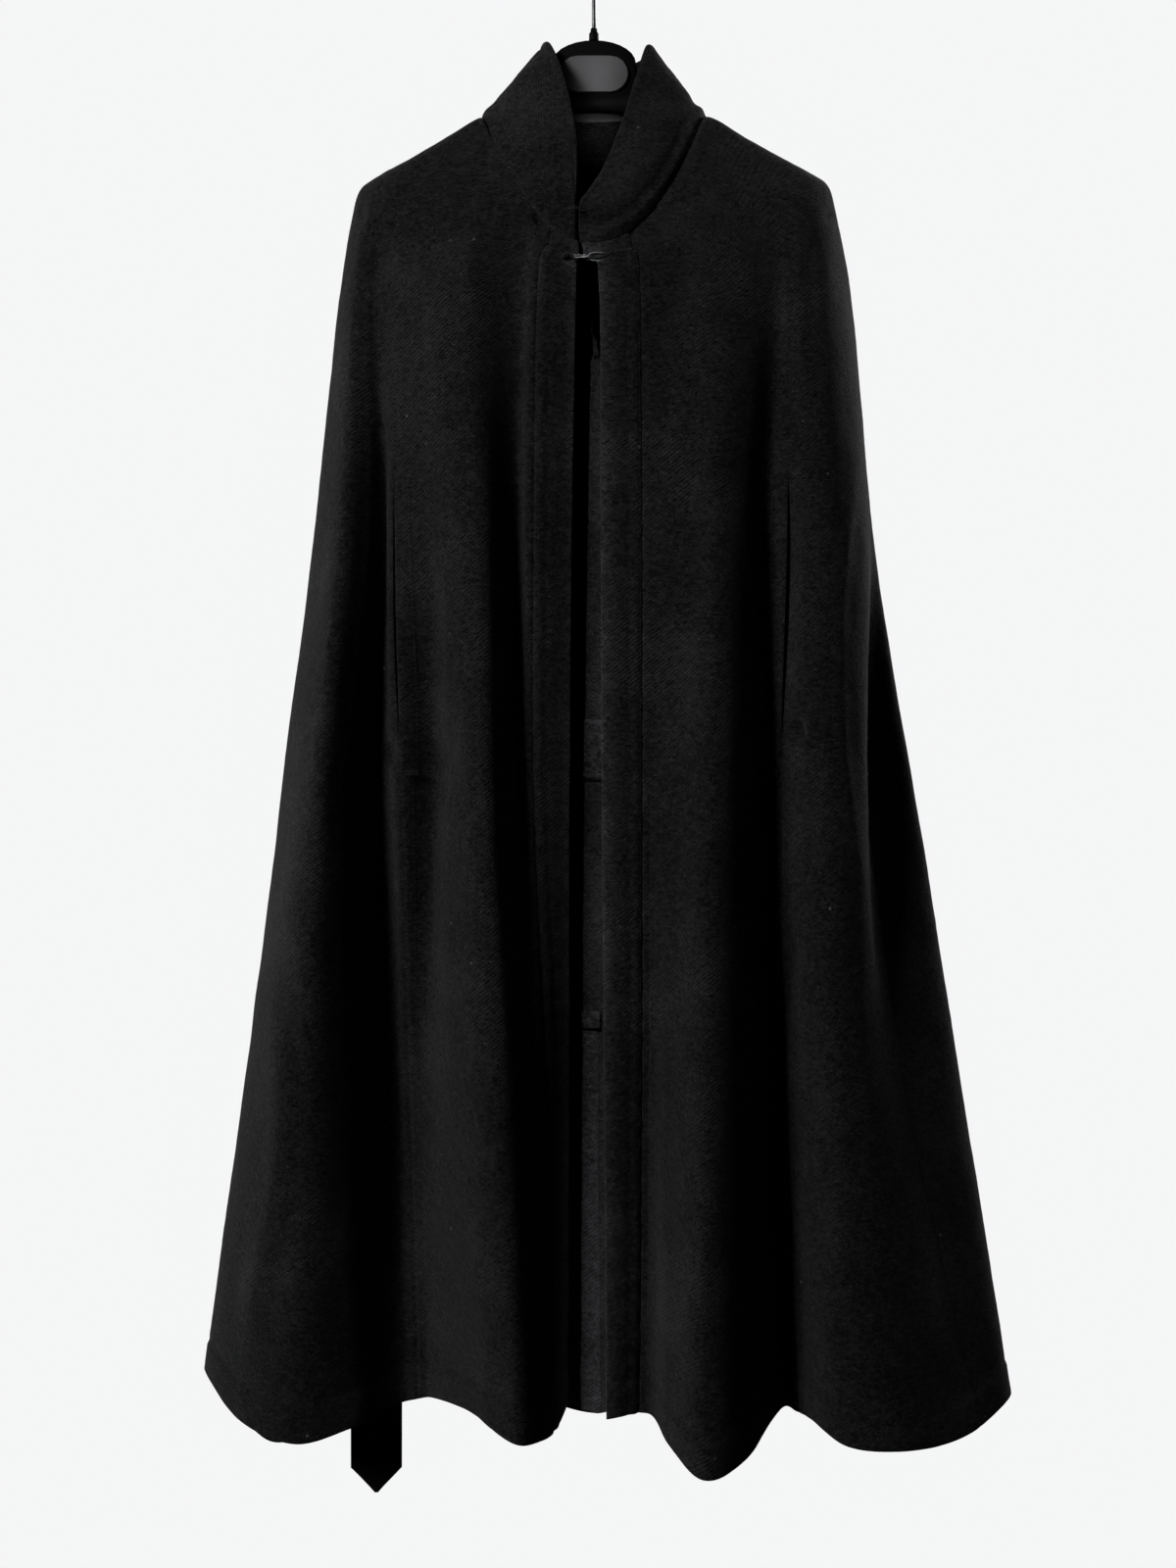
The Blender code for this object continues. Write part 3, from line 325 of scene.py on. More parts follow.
def crease_depth(points, u):
    """How far the creases push the cloth inwards."""
    depth = np.zeros(u.shape)
    front = is_front(u)
    for crease in CREASES:
        start, end = np.array(crease.start, float), np.array(crease.end, float)
        along = end - start
        length = np.linalg.norm(along)
        offset = points[..., (0, 2)] - start
        t = (offset @ along) / length**2
        bend = 0.06 * length * np.sin(np.pi * np.clip(t, 0, 1)) * (1 if len(crease.name) % 2 else -1)
        away = (offset[..., 0] * along[1] - offset[..., 1] * along[0]) / length - bend
        fade = ease(np.clip(np.minimum(t, 1 - t) * 3.2 + 0.1, 0, 1))
        side = front if crease.side == "front" else ~front
        depth += side * crease.depth * fade * np.exp(-((away / crease.width) ** 2))
    return depth


def band_puff(u, knots, width):
    """The plackets' soft padding: full between their stitched lines, with puckers down each line."""
    puff = np.zeros(u.shape)
    length = knots / KNOTS_PER_MM
    for seam, edge in (("right_placket_seam", "right_edge"), ("left_placket_seam", "left_edge")):
        from_seam = (u - AT[seam]) * (1 if AT[edge] > AT[seam] else -1)
        inside = (from_seam >= 0) & (from_seam <= 1)
        across = np.clip(from_seam, 0, 1) * width
        phase = 0.9 * np.sin(length / 47.0 + AT[seam]) + 0.7 * np.sin(length / 19.0)
        pucker = 0.5 + 0.5 * np.sin(length / 4.6 + phase * 2.2)
        lines = np.exp(-((across - 2.2) / 2.2) ** 2) + 0.55 * np.exp(-((across - 14) / 3.0) ** 2)
        full = np.sin(np.pi * np.clip(from_seam, 0, 1)) ** 0.6
        puff += inside * (0.9 * full - lines * (0.7 + 0.9 * pucker))
        low_half = np.clip((length - 500) / 350, 0.15, 1)
        puff += inside * full * low_half * 0.55 * np.sin(length / 3.9 + 2.5 * np.sin(length / 61))
    return puff


def cloth_at(u, knots, detail=True):
    """The middle of the cloth at fold numbers u, with its outward direction, in millimetres. knots has u's rows."""
    lines = fold_lines(knots)
    step = 0.03
    points = across_folds(lines, u)
    ahead, behind = np.minimum(u + step, len(FOLDS) - 1), np.maximum(u - step, 0)
    tangent = (across_folds(lines, ahead) - across_folds(lines, behind)) / (ahead - behind)[..., None]
    top_x = through([fold.top_x for fold in FOLDS], np.arange(len(FOLDS)), u.ravel()).reshape(u.shape)
    top = across_folds(fold_lines(np.zeros(u.shape[1])), u)
    exact = top_points(top_x, is_front(u))
    points = points + (exact - top) * (np.clip(1 - knots / 0.05, 0, 1) ** 2)[None, :, None]
    slightly = 0.002
    lower = across_folds(fold_lines(np.minimum(knots + slightly, 1)), u)
    upper = across_folds(fold_lines(np.maximum(knots - slightly, 0)), u)
    normal = unit(np.cross(tangent, lower - upper))
    if not detail:
        return points, normal
    width = np.linalg.norm(tangent, axis=-1)
    out = 0.9 * soft_noise(points, (46, 46, 120), 11) + 0.55 * soft_noise(points, (19, 19, 44), 12)
    out = out + 0.16 * soft_noise(points, (7, 7, 9), 13) + 0.07 * soft_noise(points, (3, 3, 3), 14)
    out = out - crease_depth(points, u) + band_puff(u, knots, width)
    for seam in SEAMS:
        away = np.abs(u - AT[seam]) * width
        strength = SEAM_DIPS.get(seam, 0.35)
        if "arm" in seam:
            strength = np.interp(points[..., 2], (-790, -770, SLIT_TOP_Z, SLIT_TOP_Z + 20), (0.7, 0.3, 0.3, 0.06))
        out = out - strength * (np.exp(-((away / 2.2) ** 2)) - 0.4 * np.exp(-(((away - 6.5) / 3.4) ** 2)))
    from_hem = (1 - knots) / KNOTS_PER_MM
    hem = 0.35 * (from_hem < HEM_TURN) - 0.5 * np.exp(-(((from_hem - HEM_TURN - 1) / 2.2) ** 2))
    wave = 0.5 + 0.5 * soft_noise(points, (17, 17, 60), 15)
    out = out + hem[None, :] * (0.5 + wave)
    return points + normal * out[..., None], normal


def row_knots():
    edge = np.array(EDGE_STEPS) * KNOTS_PER_MM
    inner = np.linspace(0.0042, 0.9958, ROW_COUNT)
    return np.concatenate([edge, inner, 1 - edge[::-1]])


def knots_at_height(u, z):
    """The knots at which fold number u passes each height."""
    knots = np.linspace(0, 1, 1200)
    points, _ = cloth_at(np.full((1, len(knots)), float(u)), knots, detail=False)
    return np.interp(-np.asarray(z, float), -points[0, :, 2], knots)


def fold_spacing(fold_number, way, knots):
    """The width of cloth to one side of a fold at each knot, in millimetres a fold."""
    here, _ = cloth_at(np.full((1, len(knots)), float(fold_number)), knots, detail=False)
    near, _ = cloth_at(np.full((1, len(knots)), fold_number + way * PROBE), knots, detail=False)
    return np.maximum(np.linalg.norm(near - here, axis=-1)[0] / PROBE, NARROWEST_FOLD)


# ---------------------------------------------------------------- building pieces

def add_object(name, data):
    made = bpy.data.objects.new(name, data)
    bpy.context.scene.collection.objects.link(made)
    return made


def mesh_from(bm, name, finish):
    mesh = bpy.data.meshes.new(name)
    bm.to_mesh(mesh)
    bm.free()
    mesh.materials.append(finish)
    return mesh


def grid_places(mesh, columns, rows):
    """Each vertex's column and row on a grid made from -1 to 1."""
    flat = np.empty(len(mesh.vertices) * 3)
    mesh.vertices.foreach_get("co", flat)
    flat = flat.reshape(-1, 3)
    i = np.rint((flat[:, 0] + 1) / 2 * (columns - 1)).astype(int)
    j = np.rint((flat[:, 1] + 1) / 2 * (rows - 1)).astype(int)
    return i, j


def stand_for(piece, nodes):
    """Fixes a piece to the cloak, in the place of those nodes."""
    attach(piece, "root")
    if nodes:
        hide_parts(*nodes)
    return piece


def grid_object(name, points, finish, thick=None, fullness=None, measure=None):
    """A cloth piece over a grid of points in millimetres. fullness is its thickness share at each point."""
    columns, rows = points.shape[:2]
    bm = bmesh.new()
    bmesh.ops.create_grid(bm, x_segments=columns - 1, y_segments=rows - 1, size=1)
    mesh = mesh_from(bm, name, finish)
    i, j = grid_places(mesh, columns, rows)
    mesh.vertices.foreach_set("co", (points[i, j] * MM).ravel())
    if measure is None:
        measure = cloth_measure(points)
    corners = np.empty(len(mesh.loops), int)
    mesh.loops.foreach_get("vertex_index", corners)
    layer = mesh.uv_layers.new(name="cloth")
    layer.data.foreach_set("uv", (measure[i, j][corners] * MM).ravel())
    mesh.shade_smooth()
    mesh.update()
    made = add_object(name, mesh)
    if thick:
        wall = made.modifiers.new("wall", "SOLIDIFY")
        wall.thickness = thick
        wall.offset = 0
        wall.use_rim = True
        if fullness is not None:
            group = made.vertex_groups.new(name="fullness")
            shares = np.round(np.clip(fullness[i, j], 0, 1), 2)
            for share in np.unique(shares):
                group.add(np.flatnonzero(shares == share).tolist(), float(share), "REPLACE")
            wall.vertex_group = group.name
            wall.thickness_vertex_group = 0.0
    return made


def cloth_measure(points):
    """Distances across and down the cloth from the middle of its top edge, in millimetres."""
    across = np.concatenate([
        np.zeros((1, points.shape[1])), np.cumsum(np.linalg.norm(np.diff(points, axis=0), axis=-1), axis=0),
    ])
    down = np.concatenate([
        np.zeros((points.shape[0], 1)), np.cumsum(np.linalg.norm(np.diff(points, axis=1), axis=-1), axis=1),
    ], axis=1)
    middle = points.shape[0] // 2
    return np.stack([across - across[middle:middle + 1], down[middle:middle + 1] + 0 * down], axis=-1)


def rounded_rims(columns, rows, first=True, last=True, top=True, bottom=True):
    """Thickness shares that round off a grid's four edges, whose first steps are EDGE_STEPS."""
    steps = np.array(EDGE_FULLNESS)
    column, row = np.ones(columns), np.ones(rows)
    if first:
        column[:4] = steps
    if last:
        column[-4:] = steps[::-1]
    if top:
        row[:4] = steps
    if bottom:
        row[-4:] = steps[::-1]
    return np.minimum(column[:, None], row[None, :])


def strip_steps(length, spacing):
    """Distances along a strip of that length, close together at both ends so that its rims round off."""
    edge = np.array(EDGE_STEPS)
    count = max(int((length - 8) / spacing), 2)
    return np.concatenate([edge, np.linspace(4, length - 4, count), length - edge[::-1]])


def slit_share(z):
    share = np.clip((z - SLIT_BOTTOM_Z) / (SLIT_TOP_Z - SLIT_BOTTOM_Z), 0, 1)
    return np.sin(np.pi * share) ** 0.6


def panel_columns(panel, knots):
    """Fold numbers of a panel's columns at each row, with close columns along both edges."""
    first, last = float(AT[panel.first]), float(AT[panel.last])
    lines = fold_lines(knots)
    edges = []
    for edge, way in ((first, 1), (last, -1)):
        near = np.full((1, len(knots)), edge)
        inside = near + way * 0.05
        width = np.linalg.norm(across_folds(lines, inside) - across_folds(lines, near), axis=-1)[0] / 0.05
        width = np.maximum(width, 12)
        steps = [(SEAM_INSET + step) / width for step in EDGE_STEPS]
        edges.append(np.array([edge + way * step for step in steps]))
    count = panel.columns
    share = np.linspace(0, 1, count + 2)[1:-1, None]
    low, high = edges[0][-1][None, :], edges[1][-1][None, :]
    inner = low + (high - low) * share
    return np.concatenate([edges[0], inner, edges[1][::-1]])


def cut_panels(wool):
    """The six panels and two plackets of the cloak's body."""
    knots = row_knots()
    made = {}
    for panel in PANELS:
        u = panel_columns(panel, knots)
        points, normal = cloth_at(u, knots)
        if panel.name.startswith("side"):
            edge = 0 if panel.name == "side_right" else -1
            outward, gape = (-1, 1.0) if panel.name == "side_right" else (1, 0.55)
            gap = np.linalg.norm(points - points[edge][None], axis=-1)
            near = np.exp(-((gap / 13.0) ** 2)) * slit_share(points[..., 2])
            points = points + near[..., None] * np.array((outward * SLIT_OUT * gape, SLIT_BACK * gape, 0))
        if panel.name.startswith("front"):
            edge = -1 if panel.name == "front_right" else 0
            gap = np.linalg.norm(points - points[edge][None], axis=-1)
            away_from_slit = np.exp(-((gap / 10.0) ** 2)) * slit_share(points[..., 2])
            points = points + away_from_slit[..., None] * normal * 1.2
        rims = rounded_rims(*u.shape, first=False, last=False)
        for side, seam, columns in ((0, panel.first, slice(0, 4)), (1, panel.last, slice(-1, -5, -1))):
            if panel.free[side]:
                open_share = np.ones((1, len(knots)))
            elif "arm" in seam:
                open_share = slit_share(points[columns][:1, :, 2]) ** 0.5
            else:
                open_share = np.full((1, len(knots)), {"side": 0.0, "placket": 0.8}.get(seam.split("_")[1], 0.5))
            edge = 1 - (1 - np.array(EDGE_FULLNESS)[:, None]) * open_share
            rims[columns] = np.minimum(rims[columns], edge)
        if panel.thick == HEM_THICK:
            from_hem = (1 - knots) / KNOTS_PER_MM
            plain = PANEL_THICK / HEM_THICK
            rims = rims * np.where(from_hem < HEM_TURN, 1.0, plain)[None, :]
        piece = grid_object(panel.name + "_cloth", points, wool, panel.thick, rims)
        made[panel.name] = (stand_for(piece, (panel.name,)), points, normal)
    return made


def arm_welt(side, seam, way, finish):
    """A narrow pressed welt that lies on the cloth beside an arm slit."""
    steps = strip_steps(WELT_WIDTH, 2.5)
    heights = WELT_TOP_Z - strip_steps(WELT_TOP_Z - WELT_BOTTOM_Z, 5.0)
    knots = knots_at_height(AT[seam], heights)
    u = AT[seam] + way * (WELT_START + steps[:, None]) / fold_spacing(AT[seam], way, knots)[None, :]
    if way < 0:
        u = u[::-1]
    points, normal = cloth_at(u, knots)
    node = "arm_welt_" + side
    return strip_piece(node + "_cloth", (node,), points + normal * WELT_LIFT, finish, WELT_THICK)


# ---------------------------------------------------------------- collar

def neckline(turn):
    angle = np.radians(turn)
    x = -NECK_HALF_WIDTH * np.sin(angle) * 0.99999
    return top_points(x, np.cos(angle) > 0)


def collar_at(station, rise, lift=-1.2):
    """The middle of the collar at station numbers and rises from 0 at its foot to 1 at its top, and its direction."""
    numbers = np.arange(len(COLLAR))
    flat_station = station.ravel()
    turn = through([row.turn for row in COLLAR], numbers, flat_station)
    bulge = through([row.bulge for row in COLLAR], numbers, flat_station)
    top = through([row.top for row in COLLAR], numbers, flat_station)
    foot = neckline(turn)
    foot = foot + unit(top - foot) * lift
    out = (foot + top) * np.array((1, 1, 0))
    out = unit(out)
    r = rise.ravel()[:, None]
    points = foot + (top - foot) * r + out * (bulge[:, None] * np.sin(np.pi * r))
    return points.reshape(*station.shape, 3)


def collar_frame(station, rise):
    step = 0.04
    last = len(COLLAR) - 1
    across = collar_at(np.minimum(station + step, last), rise) - collar_at(np.maximum(station - step, 0), rise)
    up = collar_at(station, rise + step) - collar_at(station, rise - step)
    return collar_at(station, rise), unit(np.cross(up, across))


def collar_piece(wool):
    """The funnel collar: outer cloth and facing, closed over a rounded top edge and rounded front ends."""
    last = len(COLLAR) - 1
    inner = np.linspace(0, last, last * COLLAR_COLUMNS_PER_STATION + 1)[1:-1]
    ends = np.array((0.0, 0.012, 0.04, 0.075))
    stations = np.concatenate([ends, inner[inner > 0.09][:-1], last - ends[::-1]])
    stations = np.unique(np.round(stations, 5))
    rises = np.concatenate([(0, 0.004, 0.014), np.linspace(0.03, 0.965, COLLAR_RISE_ROWS), (0.985, 0.996, 1.0)])
    loop_rise = np.concatenate([rises, rises[::-1][1:]])
    side = np.concatenate([np.ones(len(rises)), -np.ones(len(rises) - 1)])
    side[len(rises) - 1] = 0
    side[0] = side[-1] = 0
    station, rise = np.meshgrid(stations, loop_rise, indexing="ij")
    points, normal = collar_frame(station, rise)
    from_end = np.minimum(station, last - station) * 30
    height = np.linalg.norm(collar_at(station, np.ones_like(rise)) - collar_at(station, np.zeros_like(rise)), axis=-1)
    from_rim = np.minimum(rise, 1 - rise) * height
    half = COLLAR_THICK / MM / 2

    def round_off(distance):
        share = np.clip(distance / half, 0, 1)
        return np.sqrt(np.clip(1 - (1 - share) ** 2, 0, 1))

    offset = side[None, :] * half * round_off(from_end) * round_off(from_rim)
    from_foot = rise * height
    seam_roll = 1.5 * np.exp(-(((from_foot - 10) / 4.5) ** 2)) - 1.3 * np.exp(-(((from_foot - 19) / 5.0) ** 2))
    seam_roll = seam_roll * (0.45 + 0.55 * (station > last / 2)) - 0.7 * np.exp(-((from_foot / 2.5) ** 2))
    from_top = (1 - rise) * height
    edge_roll = 0.8 * np.exp(-(((from_top - 4) / 3.0) ** 2))
    edge_roll = edge_roll - (station < last / 3) * 1.3 * np.exp(-(((from_top - 8.5) / 2.0) ** 2))
    rough = 1.1 * soft_noise(points, (26, 26, 22), 31) + 0.35 * soft_noise(points, (9, 9, 8), 32)
    rough = rough + 0.12 * soft_noise(points, (3.5, 3.5, 3.5), 33)
    outer = np.clip(side, 0, 1)[None, :]
    moved = points + normal * (offset + outer * (seam_roll + edge_roll) * round_off(from_end) + rough)[..., None]
    measure = np.stack([station * 24, rise * 110 + (side[None, :] < 0) * 3], axis=-1)
    piece = grid_object("collar_cloth", moved, wool, measure=measure)
    bm = bmesh.new()
    bm.from_mesh(piece.data)
    bmesh.ops.remove_doubles(bm, verts=bm.verts, dist=0.00002)
    bmesh.ops.recalc_face_normals(bm, faces=bm.faces)
    bm.to_mesh(piece.data)
    bm.free()
    piece.data.shade_smooth()
    return stand_for(piece, ("collar", "collar_facing"))


# ---------------------------------------------------------------- trims

def strip_piece(name, nodes, points, finish, thick, rims=True):
    fullness = rounded_rims(*points.shape[:2]) if rims else None
    return stand_for(grid_object(name, points, finish, thick, fullness), nodes)


def neck_strips(satin, wool):
    """The blank label on the collar's facing and the tape loop below it."""
    back = (len(COLLAR) - 1) / 2 - 0.5
    rise = (LABEL_Z - NECK_BACK_Z) / (-104 - NECK_BACK_Z)
    wall_y = collar_at(np.array([[back]]), np.array([[rise]]))[0, 0, 1] - COLLAR_THICK / MM / 2
    pieces = []
    for name, node, width, height, z, y, thick, finish, slot in (
        ("label_satin", "neck_label", 62, 12, LABEL_Z, wall_y - 2.2, 0.7 * MM, satin, "label"),
        ("loop_tape", "hang_loop", 84, 7, LOOP_Z, NECK_BACK_DEPTH - 5.5, 1.6 * MM, wool, "wool"),
    ):
        xs = strip_steps(width, 2.0) - width / 2
        drops = strip_steps(height, 1.0) if height > 9 else np.linspace(0, height, 9)
        x, drop = np.meshgrid(xs, drops, indexing="ij")
        bow = y - 0.0055 * x**2 - 0.5 * np.sin(np.pi * drop / height)
        sag = 1.4 * np.cos(np.pi * x / width) if node == "hang_loop" else 0
        points = np.stack([x, bow, z + height / 2 - drop - sag], axis=-1)
        pieces.append(strip_piece(name, (node,), points[::-1], finish, thick, rims=height > 9))
    return pieces


def casing_offset(share):
    """Distance of the casing's middle outside the cloth's, from its upper to its lower border."""
    border = 5 / (CASING_TOP_Z - CASING_BOTTOM_Z)
    rise = ease(np.clip(np.minimum(share, 1 - share) / border, 0, 1))
    sewn = np.exp(-(((share - 0.20) / 0.05) ** 2)) + 0.8 * np.exp(-(((share - 0.82) / 0.035) ** 2))
    return -(2.6 + 5.6 * rise - 2.2 * sewn)


def casing_piece(wool):
    """The waist casing, sewn down along both borders inside the back."""
    seam = AT["centre_back_seam"]
    heights = CASING_TOP_Z - strip_steps(CASING_TOP_Z - CASING_BOTTOM_Z, 2.4)
    knots = knots_at_height(seam, heights)
    u = np.linspace(AT["right_back_crest"], AT["left_back_crest"], 90)[:, None] + np.zeros((1, len(knots)))
    points, normal = cloth_at(u, knots)
    share = (CASING_TOP_Z - heights) / (CASING_TOP_Z - CASING_BOTTOM_Z)
    wrinkle = 0.5 * soft_noise(points, (9, 9, 20), 41) * np.sin(np.pi * share)[None, :]
    lift = casing_offset(share)[None, :] + wrinkle
    return strip_piece(
        "casing_cloth", ("waist_casing",), (points + normal * lift[..., None])[::-1], wool, TRIM_THICK,
    )


def belt_rungs():
    """Pairs of points on the belt's upper and lower edge, from the right tip through the casing to the left tip."""
    high, low = BELT_Z + BELT_WIDTH / 2, BELT_Z - BELT_WIDTH / 2
    waist = []
    for u in np.arange(AT["right_back_crest"] - 0.5, AT["left_back_crest"] + 0.51, 0.125):
        knots = knots_at_height(u, (high, low))
        points, normal = cloth_at(np.full((1, 2), u), knots, detail=False)
        inside = points - normal * 3.4
        waist.append((inside[0, 0], inside[0, 1]))
    right = hanging_end(-1, BELT_RIGHT_TIP_Z, high, low)[::-1]
    return right + waist + hanging_end(1, BELT_LEFT_TIP_Z, high, low)


def hanging_end(side, tip_z, high, low):
    """The rungs of one loose end: out of the casing, folded over its diagonal, then straight down to the tip."""
    near_x, far_x = side * (BELT_TAIL_X - BELT_WIDTH / 2), side * (BELT_TAIL_X + BELT_WIDTH / 2)
    near_y, far_y, hang_y, radius = 60, 38, 8, 3
    up_out = np.array((side, 0, 1)) / math.sqrt(2) * radius
    through_y = np.array((0, -radius, 0))
    upper, lower = np.array((near_x, near_y, high)), np.array((far_x, far_y, low))
    rungs = [(upper, np.array((near_x, near_y, low))), (upper, lower)]
    for angle in np.radians((30, 60, 90, 120, 150, 180)):
        bend = up_out * math.sin(angle) + through_y * (1 - math.cos(angle))
        rungs.append((upper + bend, lower + bend))
    rungs.append((
        np.array((near_x, near_y - 12, low)) + 2 * through_y, lower + 2 * through_y - np.array((0, 5, 6)),
    ))
    square_z = tip_z + BELT_POINT
    for share in np.concatenate([(0.03, 0.06), np.linspace(0.1, 1.0, 60)]):
        z = low + (square_z - low) * share
        back = (near_y - hang_y) * 0.45 * math.exp(-6 * share)
        sway = 1.6 * math.sin(share * 9 + side) + 0.8 * math.sin(share * 23)
        rungs.append((np.array((near_x, hang_y + back + sway, z)), np.array((far_x, hang_y + back - sway, z))))
    for share in (0.12, 0.3, 0.5, 0.7, 0.85, 0.95):
        half = BELT_WIDTH / 2 * (1 - share)
        z = square_z - BELT_POINT * share
        rungs.append((
            np.array((side * (BELT_TAIL_X - half), hang_y, z)), np.array((side * (BELT_TAIL_X + half), hang_y, z)),
        ))
    return rungs


def belt_piece(wool):
    """The long belt with its two pointed ends."""
    rungs = belt_rungs()
    steps = strip_steps(BELT_WIDTH, 3.2) / BELT_WIDTH
    points = np.array([[upper + (lower - upper) * share for share in steps] for upper, lower in rungs])
    crown = 0.35 * np.sin(np.pi * steps)[None, :] + 0.25 * soft_noise(points, (12, 12, 16), 51)
    points[..., 1] -= crown
    rims = rounded_rims(*points.shape[:2], first=False, last=False)
    return stand_for(grid_object("belt_cloth", points, wool, BELT_THICK, rims), ("belt",))


def vent_pieces(wool):
    """The vent's underlap inside the right back, and the stay bar across its head."""
    seam = AT["centre_back_seam"]
    top, bottom = knots_at_height(seam, (VENT_TOP_Z, VENT_TOP_Z - 10))
    per_mm = (bottom - top) / 10
    length = (1 - top) / per_mm
    knots = top + strip_steps(length - 2.5, 6) * per_mm
    steps = strip_steps(40, 4)
    u = seam - (steps[::-1, None] - 2.0) / fold_spacing(seam, -1, knots)[None, :]
    points, normal = cloth_at(u, knots)
    underlap = strip_piece(
        "vent_underlap_cloth", ("vent_underlap",), (points - normal * 3.0)[::-1], wool, TRIM_THICK,
    )
    heights = VENT_TOP_Z + 15 - strip_steps(16, 1.4)
    x = np.concatenate([np.array(EDGE_STEPS), np.linspace(4, 40, 14), 44 - np.array(EDGE_STEPS)[::-1]]) - 38
    x_grid, z_grid = np.meshgrid(x, heights, indexing="ij")
    share = (heights - heights[-1]) / (heights[0] - heights[-1])
    tilt = 0.09 * (x_grid + 16)
    back_y = np.interp(x, (-40, 0, 8), (84.5, 56.0, 57.5))
    y = back_y[:, None] - 4.6 - 4.0 * np.sin(np.pi * share)[None, :]
    bar = strip_piece(
        "vent_bar_cloth", ("vent_bar",), np.stack([x_grid, y, z_grid + tilt], axis=-1)[::-1], wool, 2.2 * MM,
    )
    return underlap, bar


# ---------------------------------------------------------------- thread and loose fibres

def line_on_cloth(fold_number, way, away, top_z, bottom_z, lift):
    """A line down the cloth at a distance beside a fold, with outward directions."""
    heights = np.arange(top_z, bottom_z, -3.0)
    knots = knots_at_height(fold_number, heights)
    u = fold_number + way * away / fold_spacing(fold_number, way, knots)
    points, normal = cloth_at(u[None, :], knots)
    return points[0] + normal[0] * lift, normal[0]


def line_round_hem(first, last, above, lift):
    """A line along the cloth a distance above the hem, between two folds."""
    u = np.linspace(first + 0.1, last - 0.1, int((last - first) * 16))
    points, normal = cloth_at(u[:, None], np.array([1 - above * KNOTS_PER_MM]))
    return points[:, 0] + normal[:, 0] * lift, normal[:, 0]


def stitches(name, lines, finish, pitch=3.6, length=2.6, radius=0.27):
    """Rows of thread stitches along lines of points, as small spindles."""
    bm = bmesh.new()
    for points, normals in lines:
        gaps = np.linalg.norm(np.diff(points, axis=0), axis=1)
        run = np.concatenate([[0], np.cumsum(gaps)])
        marks = np.arange(pitch, run[-1] - pitch, pitch)
        centre, ahead, out = (
            np.stack([np.interp(at, run, values[:, axis]) for axis in range(3)], axis=1)
            for at, values in ((marks, points), (marks + 0.8, points), (marks, normals))
        )
        for place, forward, up in zip(centre, unit(ahead - centre), unit(out)):
            side = Vector(forward).cross(Vector(up)).normalized()
            up = side.cross(Vector(forward))
            turn = Matrix((Vector(forward), side, up)).transposed().to_4x4()
            size = Matrix.Diagonal((length / 2 * MM, radius * MM, radius * 0.8 * MM, 1))
            bmesh.ops.create_icosphere(
                bm, subdivisions=1, radius=1, matrix=Matrix.Translation(Vector(place) * MM) @ turn @ size,
            )
    mesh = mesh_from(bm, name, finish)
    mesh.shade_smooth()
    return stand_for(add_object(name, mesh), ())


def nap_fibres(name, sources, count, finish, seed, length=(1.8, 5.0), width=0.07, lift=(0.3, 1.5)):
    """Loose wool fibres that stand off the cloth: narrow bent ribbons cut from one grid."""
    rng = np.random.default_rng(seed)
    starts, outs, slopes = [], [], []
    weights = np.array([points.shape[0] * points.shape[1] for points, _ in sources], float)
    shares = (weights / weights.sum() * count).astype(int)
    for (points, normal), number in zip(sources, shares):
        i = rng.integers(2, points.shape[0] - 3, number)
        j = rng.integers(2, points.shape[1] - 3, number)
        s, t = rng.random(number)[:, None], rng.random(number)[:, None]
        place = (points[i, j] * (1 - s) + points[i + 1, j] * s) * (1 - t)
        place = place + (points[i, j + 1] * (1 - s) + points[i + 1, j + 1] * s) * t
        down = unit(points[i, j + 1] - points[i, j])
        starts.append(place + normal[i, j] * 0.8)
        outs.append(normal[i, j])
        slopes.append(down)
    start, out, down = np.concatenate(starts), np.concatenate(outs), np.concatenate(slopes)
    number = len(start)
    across = unit(np.cross(out, down))
    angle = rng.normal(0, 1.0, number)[:, None]
    run = down * np.cos(angle) + across * np.sin(angle)
    side = unit(np.cross(run, out))
    reach = rng.uniform(*length, number)[:, None]
    height = rng.uniform(*lift, number)[:, None] * reach / length[1] * 1.6
    curl = rng.normal(0, 0.35, number)[:, None] * reach
    ribbon = []
    for t, breadth in ((0.0, 1.0), (0.35, 0.9), (0.7, 0.7), (1.0, 0.25)):
        centre = start + run * (reach * t) + out * (height * math.sin(math.pi * min(t, 0.8) / 1.6) * 1.1)
        centre = centre + side * (curl * t * t)
        half = side * (width / 2 * breadth)
        ribbon.append(np.stack([centre - half, centre + half], axis=1))
    ribbon = np.stack(ribbon, axis=1)
    bm = bmesh.new()
    bmesh.ops.create_grid(bm, x_segments=3, y_segments=2 * number - 1, size=1)
    bm.faces.ensure_lookup_table()
    centre_rows = [round((face.calc_center_median().y + 1) / 2 * (2 * number - 1) - 0.5) for face in bm.faces]
    gaps = [face for face, row in zip(bm.faces, centre_rows) if row % 2]
    bmesh.ops.delete(bm, geom=gaps, context="FACES_ONLY")
    loose = [edge for edge in bm.edges if not edge.link_faces]
    bmesh.ops.delete(bm, geom=loose, context="EDGES")
    mesh = mesh_from(bm, name, finish)
    i, j = grid_places(mesh, 4, 2 * number)
    mesh.vertices.foreach_set("co", (ribbon[j // 2, i, j % 2] * MM).ravel())
    mesh.update()
    return stand_for(add_object(name, mesh), ())


# ---------------------------------------------------------------- finishes

def set_inputs(node, values):
    for name, value in values.items():
        node.inputs[name].default_value = value


def add_node(tree, kind, values=None, **settings):
    node = tree.nodes.new("ShaderNode" + kind)
    for name, value in settings.items():
        setattr(node, name, value)
    set_inputs(node, values or {})
    return node


